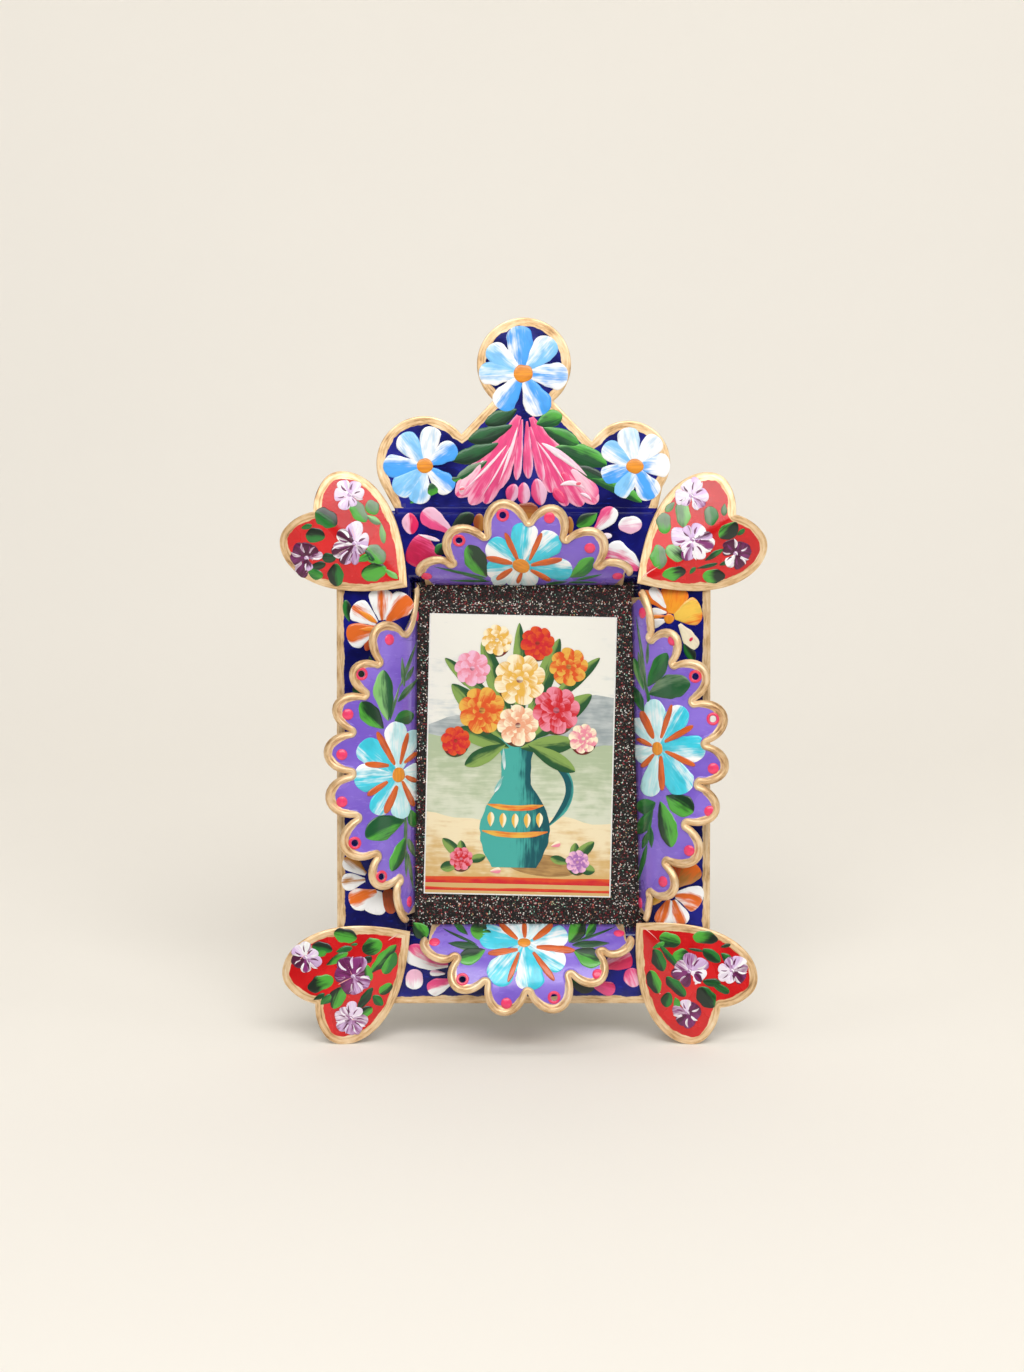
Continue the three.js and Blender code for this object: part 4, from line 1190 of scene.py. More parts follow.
def paint_crest():
    paint = Painting("paint_crest", Plane(0, CREST_BASE, CREST_LEAN))
    blue = (SKY, WHITE)
    soft = (LIGHT_SKY, WHITE)
    # Long pink petals that hang from the top flower, with pale edges
    pink = (linear(234, 66, 130), linear(252, 178, 202))
    fringe = (pink, (-0.1, 0.35, 0, 0.55), "petal", 0)
    for x, z, width, bend in ((-18, 137.2, 6.5, 0.03), (-14.4, 135, 6, 0.02), (-10.4, 135.2, 5, 0),
                              (-7, 139.2, 4.5, 0)):
        paint.stroke(-1.2, 159, x, z, width, *fringe, bend)
    for x, z, width, bend in ((19.8, 135.4, 6.5, -0.03), (15.8, 134.6, 6, -0.02), (11.6, 134.6, 5, 0),
                              (7.6, 138.2, 4, 0)):
        paint.stroke(2.0, 158.6, x, z, width, *fringe, bend)
    pale = (linear(255, 236, 242), linear(250, 176, 204))
    blush = (linear(252, 200, 216), linear(242, 104, 156))
    deep_pink = (linear(236, 40, 100), PINK)
    paint.strokes([
        (12.6, 144.6, 19.2, 136.8, 4.6, blush, (-0.1, 0.5, 0, 0.5), "petal", 1, 0.04),
        (-10.5, 147, -16.8, 137.6, 3.6, blush, (0.1, 0.4, 0.3, 0), "petal", 1, -0.03),
        (10.4, 143.8, 12.4, 140.2, 2.6, deep_pink, STREAKED, "broad", 2),
        (8.2, 139.4, 11, 135.4, 3, deep_pink, STREAKED, "broad", 2),
    ])
    for x0, z0, x1, z1, width, bend in (
            (-1.6, 156, -6.8, 140.5, 1.0, 0.02), (-4.6, 151, -16.4, 138.6, 0.8, 0.02),
            (-3.4, 151, -11, 137.6, 0.6, 0.02), (4.8, 151.6, 17.2, 142.6, 2.2, 0.03),
            (3.6, 152, 11.4, 140.2, 0.7, 0.02), (9.8, 140.2, 16.6, 139.2, 1.5, 0.16),
            (15.2, 138, 18.4, 136, 1.0, 0.1)):
        paint.stroke(x0, z0, x1, z1, width, pale, (0.3, 0.2, 0, 0), "sliver", 3, bend)
    paint.many([(14.1, 140.4, 15.5, 140.8, 1.5), (-17.3, 139, -15.9, 139.4, 1.5)],
               (linear(236, 96, 120), pale[0]), EDGED, "round", 4)
    paint.many([
        (-0.4, 158, -1.9, 141.6, 2.3), (0.9, 157.5, 1.3, 142, 2.7), (1.8, 156, 5.2, 141.4, 2.6),
    ], (linear(238, 78, 138), PALE_PINK), (0, 0.4, 0.2, 0.3), "petal", 1)
    paint.many([
        (-2.4, 140.6, -3.6, 135.6, 3.7), (0, 141, 0, 135, 3.8), (3.4, 142, 4.8, 134.8, 4.4),
    ], (linear(236, 70, 130), PALE_PINK), HALF, "broad", 1)
    # Leaves on the slopes
    deep = (linear(14, 92, 40), linear(5, 46, 22))
    bright = (linear(10, 78, 34), linear(74, 168, 50))
    paint.strokes([
        (-1.8, 160.8, -10.4, 157, 4.6, deep, HALF, "leaf", 1, 0.05),
        (-2.8, 156.6, -15, 152.4, 4.6, deep, HALF, "leaf", 1, 0.04),
        (-6.4, 151.8, -19.4, 147, 4.6, deep, (0.4, 0, 0.6, 0), "leaf", 1, 0.04),
        (-9.6, 147, -18, 142.2, 3.2, (SAGE, FERN), HALF, "leaf", 1, 0.03),
        (-16, 142.4, -30.6, 135.4, 3.4, bright, HALF, "leaf", 1, -0.06),
        (3.4, 156.6, 10.4, 159.2, 5, bright, (0.2, 0.5, 0.4, 0), "leaf", 1),
        (5.2, 155.8, 15, 151, 4.6, (linear(8, 66, 30), linear(60, 150, 46)), HALF, "leaf", 1),
        (7.8, 150.4, 22.4, 145.6, 5.8, bright, (0.3, 0, 0.7, 0), "leaf", 1, 0.04),
        (13.6, 145.4, 22, 141.6, 3.8, deep, HALF, "leaf", 1),
        (16.4, 142.4, 31.8, 135.6, 3.8, bright, HALF, "leaf", 1, 0.06),
    ])
    # Flowers
    paint.flower((-0.1, 170.4), 2, [
        (96, 12.9, 7.4, blue, (0.3, 0, 0.3, 0)), (50, 12.3, 6.8, soft, (0.3, 0.2, 0.4, 0)),
        (356, 12.1, 7.2, blue, (0.35, 0.1, 0, 0.3)), (296, 12.4, 7.5, blue, (0.35, 0, -0.6, 0)),
        (235, 11.6, 7, blue, (0.3, 0, -0.6, 0)), (180, 12, 6.6, soft, (0.4, 0.1, 0.3, 0)),
        (143, 11.9, 6, soft, (0.4, 0, -0.4, 0)),
    ])
    paint.flower((-26.6, 145.4), 2, [
        (127, 10.7, 6.2, soft, (0.45, 0, 0.3, 0)), (80, 10.8, 5.8, (PALE_SKY, WHITE), (0.6, 0.1, 0, 0)),
        (180, 11.3, 6, blue, (0.2, 0, -0.5, 0)), (223, 10.8, 6.2, soft, (0.25, 0, 0.2, 0)),
        (258, 10.4, 6.2, soft, (0.35, 0, 0.4, 0)), (318, 9.9, 6, blue, (0.4, 0, -0.7, 0)),
        (33, 10, 5.8, blue, (0.35, 0, 0.4, 0)),
    ])
    paint.flower((30, 145.3), 2, [
        (147, 10.2, 5.8, soft, (0.35, 0.1, 0.3, 0)),
        (103, 10.7, 6.2, (PALE_SKY, WHITE), (0.55, 0, 0.3, 0)),
        (52, 10.2, 6, (PALE_SKY, WHITE), (0.7, 0, 0, 0)), (2, 9.5, 6.4, blue, (0.2, 0.9, 0, 0)),
        (300, 10, 6.6, blue, (-0.1, 0, 0, 0.9)), (242, 9.2, 5.8, soft, (0.3, 0, 0.4, 0)),
        (200, 9.6, 5.8, blue, (0.35, 0, -0.3, 0)),
    ])
    for x, z, wide, high in ((-0.1, 170.4, 2.6, 5), (-26.6, 145.4, 2.2, 4.2), (30, 145.3, 2.4, 4)):
        paint.stroke(x - wide, z, x + wide, z, high, KNOB, (0.45, 0, 0, 0.25), "round", 5)
    paint.finish("cobalt_enamel")


def paint_border():
    paint = Painting("paint_tray", Plane())
    rose = (PINK, PALE_PINK)
    blush = (PALE_PINK, WHITE)
    # Top strip
    paint.strokes([
        (-19.4, 127.6, -27.4, 133.2, 5.6, rose, OTHER_HALF),
        (-22.3, 119.5, -31, 124, 9.5, (CRIMSON, PINK), (0.2, 0.1, -0.3, 0)),
        (-30.2, 127, -30.8, 132.8, 4.6, (HOT_PINK, PALE_PINK), HALF, "broad"),
        (-22.5, 125.2, -28.4, 127, 1.2, (PALE_PINK, WHITE), STREAKED, "sliver"),
        (-24, 121.5, -21, 124.4, 3.2, DEEP_LEAF, HALF, "broad"),
        (19.8, 132.8, 14.2, 129.4, 4, LEAF, HALF, "leaf", 0, 0.05),
        (19, 128, 24.3, 134.2, 5, (PINK, WHITE), (0.4, 0.1, -0.7, 0), "petal", 1, -0.05),
        (25.5, 129.2, 31.9, 129.9, 4.7, blush, (0.5, 0, 0.5, 0), "round"),
        (21, 126.5, 23.8, 126.6, 1.8, blush, STREAKED, "round"),
        (31.2, 117.8, 21.8, 121.5, 8.6, (PINK, WHITE), (0.35, 0, -0.7, 0), "petal", 0, -0.06),
    ])
    paint.many([(-19.5, 128.4, -13.4, 132.4, 4.4)], DEEP_LEAF, (-0.1, 0.2, 0.3, 0), "leaf")
    paint.many([
        (-12, 127.4, -12, 132.6, 3.2), (12.5, 127, 12.3, 131.8, 2.2), (-2.2, 133.2, 4.2, 133, 5),
    ], (OCHRE, BRONZE), HALF, "round")
    # Bottom strip
    paint.strokes([
        (-20.4, 10.6, -31.4, 15.4, 6.4, (PINK, WHITE), (0.4, 0, 0.75, 0), "petal", 0, 0.1),
        (-29.6, 9.4, -29.6, 3.9, 5.2, (PALE_PINK, WHITE), TIPPED, "round"),
        (-21.2, 8.2, -25.4, 8.4, 1.8, blush, HALF),
        (-18.9, 6.4, -26, 3.6, 4.6, (PINK, WHITE), (0.45, 0, 0.75, 0)),
        (-13.8, 4.6, -18.9, 3.7, 2.4, DEEP_LEAF, HALF, "leaf"),
        (-29.8, 22, -26.2, 18, 4.4, LEAF, HALF, "leaf"),
        (22, 10, 29, 13.5, 6.8, (HOT_PINK, PALE_PINK), (0.3, 0.1, 0.5, 0)),
        (28.6, 9.6, 30.4, 4.6, 4.8, (PINK, PALE_PINK), (0.2, 0.5, 0, 0), "round"),
        (18.4, 5.2, 24.8, 3.6, 4, (PINK, CRIMSON), (0.2, 0, 0.5, 0)),
        (12.6, 6, 19.4, 4.6, 5, (MOSS, FERN), HALF, "leaf"),
    ])
    # Flower at the upper left corner
    warm = (linear(226, 104, 24), WHITE)
    paint.strokes([
        (-47, 103.4, -48, 109.4, 2.8, DEEP_LEAF, HALF, "leaf"),
        (-41.6, 94.2, -46.2, 84.6, 5.4, (MOSS, FERN), HALF, "leaf", 0, 0.18),
        (-40.4, 100.4, -42.6, 95.6, 2.8, (BRONZE, RUST), STREAKED, "broad"),
        (-39.4, 98.6, -40.4, 94, 3, (OCHRE, BRONZE), HALF, "broad"),
        (-39.6, 103, -46.2, 107.6, 6.4, warm, (0.1, 0, 0.1, 1.1), "petal", 1),
        (-38.3, 103.8, -38.6, 112.4, 6.6, warm, (0.2, 0, 0.5, 1), "petal", 1),
        (-37, 103.6, -31, 110.4, 6.8, warm, (-0.1, 0, 0.4, 0.9), "petal", 1),
        (-39.8, 101.6, -47.6, 98.9, 7, warm, (0, 0, 0.6, 0.7), "petal", 1),
        (-39.5, 101.6, -44.5, 101.4, 1.4, (AMBER, ORANGE), STREAKED, "sliver", 3),
        (-39.6, 103.2, -44.6, 106.6, 1.8, (AMBER, ORANGE), STREAKED, "sliver", 3),
    ])
    # Flower at the upper right corner
    paint.strokes([
        (43.2, 97.6, 46.2, 93, 3, (MOSS, GREEN), OTHER_HALF, "leaf"),
        (42, 102.8, 46.6, 96.2, 4.2, (CREAM, IVORY), (0.3, 0, 0.3, 0)),
        (45.6, 99.2, 44.8, 98.2, 0.9, (HOT_PINK, RED), STREAKED, "round", 3),
        (39.2, 105.6, 31, 111.2, 3.2, (ORANGE, AMBER), (0.1, 0.2, 0, 0), "petal", 0, -0.1),
        (38.6, 107, 34.2, 112.5, 3.2, (WHITE, ORANGE), (0.15, 0, -0.4, 0), "petal", 1),
        (38.6, 105.9, 34.2, 106.3, 2.2, (WHITE, IVORY), STREAKED, "petal", 1),
        (38.4, 103.8, 34, 102.6, 2.8, (WHITE, IVORY), STREAKED, "petal", 1),
        (38.4, 105, 34.4, 104.7, 1.2, (ORANGE, AMBER), STREAKED, "petal", 2),
        (39.8, 105.6, 41.1, 112.9, 7.6, (AMBER, ORANGE), (-0.1, 0.8, 0, 0.1), "petal", 1),
        (40.6, 104.8, 48, 106.8, 7.4, (YELLOW, ORANGE), (-0.15, 0.45, -0.1, 0.3), "petal", 1),
        (39.2, 105.6, 39.2, 102.9, 2.8, (AMBER, ORANGE), STREAKED, "round", 4),
    ])
    # Flower at the lower left corner
    paint.strokes([
        (-42.6, 35.2, -48.6, 39.3, 4.6, (OCHRE, WHITE), (0.5, 0, 0.75, 0)),
        (-42.8, 33.6, -49.2, 32.9, 4.8, (OCHRE, WHITE), (0.2, 0.1, 0.2, 0.9), "petal", 1),
        (-36.8, 31.4, -35.6, 24.4, 4.8, (BRONZE, RUST), (0.3, 0.2, 0, 0), "broad"),
        (-39, 30.6, -41, 24.4, 6.4, (AMBER, WHITE), (0.6, 0.3, 0, 0.4), "petal", 1),
        (-39.6, 30.4, -47, 27.2, 6.2, (ORANGE, WHITE), (0, 0.1, 0.4, 0.8), "petal", 2),
    ])
    # Flower at the lower right corner
    paint.strokes([
        (40.4, 32, 41, 38.2, 4, (RUST, ORANGE), (0.3, 0.1, 0, 0)),
        (41, 31.8, 47.2, 37.4, 5.8, (OCHRE, ORANGE), (-0.1, 1, 0.1, 0)),
        (41, 29.4, 48.2, 27.6, 7.2, warm, (0, 0.1, 0.5, 0.9), "petal", 1, 0.06),
        (40.6, 28.2, 43.2, 21.4, 5.4, warm, (0, 0, 0.3, 1), "petal", 1),
        (39.6, 28.2, 37.2, 21.4, 5.4, warm, (0.1, 0, 0.6, 0.8), "petal", 1),
        (38.6, 29.2, 34.2, 27.2, 2, (AMBER, YELLOW)),
    ])
    paint.finish("cobalt_enamel")


def paint_fan_top(fan):
    paint = Painting("paint_fan_top", fan)
    paint.many([
        (-10, 114.8, -20.5, 118, 0.8), (-10, 115.4, -24, 118.4, 0.8), (-9, 114.6, -20, 114.9, 0.7),
        (14, 115, 21, 116.4, 0.8), (6, 113.8, 12, 114.6, 0.8), (12, 114.4, 20, 114.4, 0.7),
    ], (FERN, GREEN), STREAKED, "sliver")
    paint.strokes([
        (-9.8, 115.8, -14.8, 124, 6, LEAF, (0.25, 0, 0.7, 0), "leaf", 1, 0.03),
        (12.4, 115.8, 18.6, 120.8, 4, (GREEN, LIME), HALF, "leaf", 1, -0.05),
    ])
    paint.flower((-0.6, 118.6), 1, [
        (208, 9, 4.6, PALE_WHITE, (0.5, 0, 0, 0)), (240, 6, 5, PALE_WHITE, (0.6, 0, 0, 0)),
        (300, 6.2, 5, PALE_WHITE, (0.5, 0, 0, 0)), (187, 9.6, 4.6, CYAN_WHITE, (0.4, 0, 0.3, 0)),
        (147, 10.8, 6.6, CYAN_WHITE, (0.4, 0.1, 0.5, 0)), (355, 13.7, 5.6, CYAN_WHITE, (0.3, 0, 0.3, 0)),
        (38, 12.5, 7.4, CYAN_WHITE, (0.3, 0, 0.5, 0)), (85, 11.3, 7.4, CYAN_WHITE, (0.3, 0, -0.7, 0)),
    ])
    paint.many([
        (-1.5, 120, -5, 127.2, 1.7), (1.5, 120, 4.8, 127.2, 1.6), (1.9, 118.8, 10.3, 120.3, 1.7),
        (1.8, 117.6, 7.3, 114.8, 1.5), (-0.5, 117, -1.7, 114.2, 1.4), (-3, 118, -7.4, 115.2, 1.7),
        (-3, 119.4, -10, 120.8, 1.9),
    ], SEPAL, STREAKED, "spear", 3)
    paint.stroke(-2.9, 119.6, 1.5, 117.8, 3.4, KNOB, (0.45, 0, 0, 0.2), "round", 5)
    paint.dots((-26.1, 115.9), (6.8, 131.1), (17.6, 123.2), (25.3, 115.8))
    finish_fan(paint, fan)


def paint_fan_bottom(fan):
    paint = Painting("paint_fan_bottom", fan)
    paint.many([
        (-12.5, 16.5, -22, 20.2, 0.7), (12.5, 16.8, 25, 20.4, 0.7), (-12, 15.8, -20.4, 16.9, 2.2),
        (13, 16.4, 23.2, 16.8, 2),
    ], (FERN, PINE), STREAKED, "sliver")
    paint.many([
        (-10.3, 15.3, -17.7, 12.9, 4.2), (-8.4, 19, -14.4, 20.2, 4.2),
    ], LEAF, HALF, "leaf", 1, 0.03)
    paint.strokes([
        (-15, 18.8, -19, 21.5, 1.6, DEEP_LEAF, STREAKED, "leaf"),
        (13.4, 15, 21, 12.4, 5, LEAF, OTHER_HALF, "leaf", 1, -0.03),
        (12.2, 17, 16.6, 21.8, 4.6, LEAF, HALF, "leaf", 1, 0.03),
        (16.6, 18.3, 19.8, 21.4, 2.2, (FERN, LIME), HALF, "leaf"),
    ])
    paint.flower((0.2, 16.9), 1, [
        (140, 7.6, 5.6, PALE_WHITE, (0.5, 0, 0, 0)),
        (45, 8.6, 5.4, PALE_WHITE, (0.5, 0, 0, 0)),
        (95, 5.6, 4.6, PALE_WHITE, (0.5, 0, 0, 0)),
        (172, 12.3, 5.4, CYAN_WHITE, (0.2, 0, -0.3, 0)), (8, 11.9, 5, CYAN_WHITE, (0.5, 0.1, -0.4, 0)),
        (333, 12.1, 6, CYAN_WHITE, (0.5, 0.1, 0.3, 0)), (228, 13, 7.6, CYAN_WHITE, (0.35, -0.1, -0.2, 0)),
        (280, 11.9, 7.6, CYAN_WHITE, (0.3, 0, -0.5, 0)),
    ])
    paint.many([
        (-1.5, 15.2, -9.6, 14.4, 1.7), (-1.2, 14.6, -4.2, 7.2, 1.5), (2.5, 14.6, 8.2, 7.6, 1.8),
        (3.4, 15.8, 13.8, 15, 1.9), (2.5, 17.5, 8, 20.8, 1.7), (0.3, 18, 0.2, 21.5, 1.5),
        (-1.5, 17.7, -6.6, 21, 1.6),
    ], SEPAL, STREAKED, "spear", 3)
    paint.stroke(-1.6, 16.9, 1.9, 16.9, 2.4, KNOB, (0.45, 0, 0, 0.2), "round", 5)
    paint.dots((-24, 17.2), (-4.6, 1.8), (19.8, 9.2), (25.8, 19.1))
    finish_fan(paint, fan)


def paint_fan_left(fan):
    paint = Painting("paint_fan_left", fan)
    # Leaves above the flower
    paint.many([
        (-36, 77, -33.4, 87, 0.8), (-33.4, 86, -29.2, 98, 1.0), (-34, 82, -29, 88, 1.8),
        (-32.4, 86, -32.9, 94, 1.2), (-32, 87.5, -30, 91.5, 1.2),
    ], (FERN, SAGE), STREAKED, "sliver")
    paint.strokes([
        (-36.4, 77, -37.6, 90.6, 5.2, (FERN, MINT), (0.45, 0, 0.7, 0), "leaf", 1, 0.04),
        (-37.6, 75, -43.2, 82.4, 5.2, LEAF, (0.2, 0, 0.6, 0), "leaf", 1, 0.05),
        (-34.8, 77, -30, 78.4, 4, (FERN, GREEN), HALF, "leaf", 1),
    ])
    # Leaves below the flower
    paint.many([
        (-31.5, 45, -29.7, 39.5, 1.6), (-31.8, 42, -31.9, 34.5, 0.9), (-31.4, 41, -30.2, 30.8, 0.9),
        (-32, 52, -32.2, 40, 0.9),
    ], (FERN, SAGE), STREAKED, "sliver")
    paint.strokes([
        (-32.2, 50, -42.2, 46, 6.6, (FERN, LIME), (0.2, 0, 0.5, 0), "leaf", 1, -0.06),
        (-32.2, 45.5, -35.6, 36.6, 3.6, (FERN, LIME), OTHER_HALF, "leaf", 1),
        (-31, 52.8, -29.4, 47.6, 3, (GREEN, LIME), HALF, "leaf", 1),
    ])
    paint.flower((-33.9, 62.4), 1, [
        (0, 5.4, 6, PALE_WHITE, (0.5, 0, 0, 0)), (305, 8.7, 5, PALE_WHITE, (0.5, 0, 0, 0)),
        (70, 12.5, 4, PALE_WHITE, (0.4, 0, 0, 0)),
        (92, 14.4, 6.2, PALE_WHITE, (0.35, 0.1, 0.3, 0)),
        (275, 12, 4.8, PALE_WHITE, (0.3, 0, 0, 0)),
        (240, 11.8, 5.8, CYAN_WHITE, (0.3, 0.1, 0.3, 0)), (183, 11.4, 7.4, CYAN_WHITE, (0.4, 0, -0.3, 0)),
        (137, 13.1, 7.4, CYAN_WHITE, (0.15, 0.1, 0.3, 0)),
    ])
    paint.many([
        (-36.3, 65, -42.5, 65.7, 1.8), (-34.8, 65, -39.3, 74.2, 2), (-33.5, 65, -31.4, 73.6, 1.6),
        (-32.5, 65.4, -29.2, 68, 1.5), (-32.2, 62, -29.3, 60, 1.5), (-33, 60.8, -30, 53.4, 1.6),
        (-34.2, 59.6, -37.2, 52.2, 2.4), (-36.6, 60.8, -41.8, 57.2, 1.9),
    ], SEPAL, STREAKED, "spear", 3)
    paint.stroke(-33.9, 64.4, -33.9, 60.4, 3.4, KNOB, (0.45, 0, 0, 0.2), "round", 5)
    paint.dots((-28.8, 105), (-36, 98.7), (-46.8, 78.9), (-48.4, 68.2), (-48.4, 55.6), (-31.1, 27.8))
    finish_fan(paint, fan)


def paint_fan_right(fan):
    paint = Painting("paint_fan_right", fan)
    # Leaves above the flower
    paint.many([
        (33.5, 84, 30.6, 105, 0.9), (33.4, 92, 33.6, 98.5, 0.9), (33, 86, 31.1, 95.5, 1.6),
        (33.2, 84, 31.8, 94, 0.8),
    ], (FERN, SAGE), STREAKED, "sliver")
    paint.strokes([
        (32.5, 85, 30.2, 93.6, 2, (GREEN, MINT), HALF, "leaf"),
        (33.6, 86, 38.4, 95.2, 4.2, (FERN, GREEN), (0.5, 0, 0.5, 0), "leaf", 1),
        (33.8, 84, 44.4, 87, 6.8, (FERN, SAGE), (0.25, 0, 0.5, 0), "leaf", 1, 0.05),
        (32.6, 79, 29.8, 86, 2.6, (FERN, GREEN), HALF, "leaf"),
        (34.6, 74, 33.4, 86, 0.9, (FERN, GREEN), STREAKED, "line"),
    ])
    # Leaves below the flower
    paint.strokes([
        (38.3, 57, 45.3, 52.8, 6.2, (PINE, LIME), OTHER_HALF, "leaf", 1),
        (36.8, 55.4, 39.6, 43.2, 5, (PINE, LIME), HALF, "leaf", 1, 0.03),
        (35.6, 55, 31.2, 52.4, 4.6, (GREEN, FERN), HALF, "leaf", 1),
        (35, 53.4, 31.4, 45.8, 3, (GREEN, FERN), HALF, "leaf", 1),
    ])
    paint.many([
        (34, 47, 32.4, 42, 1.5), (34.4, 48.5, 34.7, 42.6, 1.5), (34.8, 55, 33.6, 43, 0.9),
        (33.6, 43.4, 31.3, 32.6, 1.2),
    ], (FERN, GREEN), STREAKED, "sliver")
    paint.flower((36.1, 69.5), 1, [
        (205, 6.2, 5.4, PALE_WHITE, (0.5, 0, 0, 0)),
        (127, 9.6, 4.4, PALE_WHITE, (0.4, 0, 0, 0)),
        (95, 13.3, 5, PALE_WHITE, (0.4, 0, 0, 0)),
        (260, 13.2, 5, PALE_WHITE, (0.3, 0, 0.2, 0)),
        (61, 13.1, 6.4, CYAN_WHITE, (0.35, 0, 0.3, 0)), (2, 12.3, 7.4, CYAN_WHITE, (0.3, 0.1, -0.4, 0)),
        (303, 13.7, 7.8, CYAN_WHITE, (0.15, 0.1, 0.3, 0)),
    ])
    paint.many([
        (35.2, 72, 32, 79.4, 2.4), (37, 72, 39.6, 81.4, 1.7), (37.8, 71.3, 45.2, 75.9, 1.8),
        (38, 69, 45.7, 65.2, 1.8), (37, 67.8, 37.3, 58.3, 1.9), (35.3, 68, 32, 64.2, 1.6),
        (34.7, 70.3, 31, 71.8, 1.5),
    ], SEPAL, STREAKED, "spear", 3)
    paint.stroke(36.1, 71.3, 36.1, 67.7, 3, KNOB, (0.45, 0, 0, 0.2), "round", 5)
    paint.dots((32.2, 105.8), (39.9, 98.6), (50.4, 64.5), (49.5, 53.1), (44.2, 42.5), (37.5, 33.8),
               (32, 27))
    finish_fan(paint, fan)


class FanSheet:
    """The flat sheet of a fan as a surface, for spots placed along and up the sheet."""

    def __init__(self, fan):
        self.fan = fan

    def near(self, along, distance, right, up, lift):
        return self.fan.bent(along + right, distance + up, HALF_TIN + lift)


def finish_fan(paint, fan):
    """Paints a thick rim round each punched hole and closes the painting."""
    outer = 1.75
    radii = [(outer, SUNK), (outer - 0.1, 0.12), (outer - 0.3, 0.22),
             (HOLE_RADIUS + 0.25, 0.2), (HOLE_RADIUS + 0.05, 0.08), (HOLE_RADIUS + 0.02, -0.3)]
    paint.surface = FanSheet(fan)
    for place in fan.hole_places():
        paint.rings(place, radii, DOT_PAINT, 0.45)
    paint.finish("lavender_enamel")
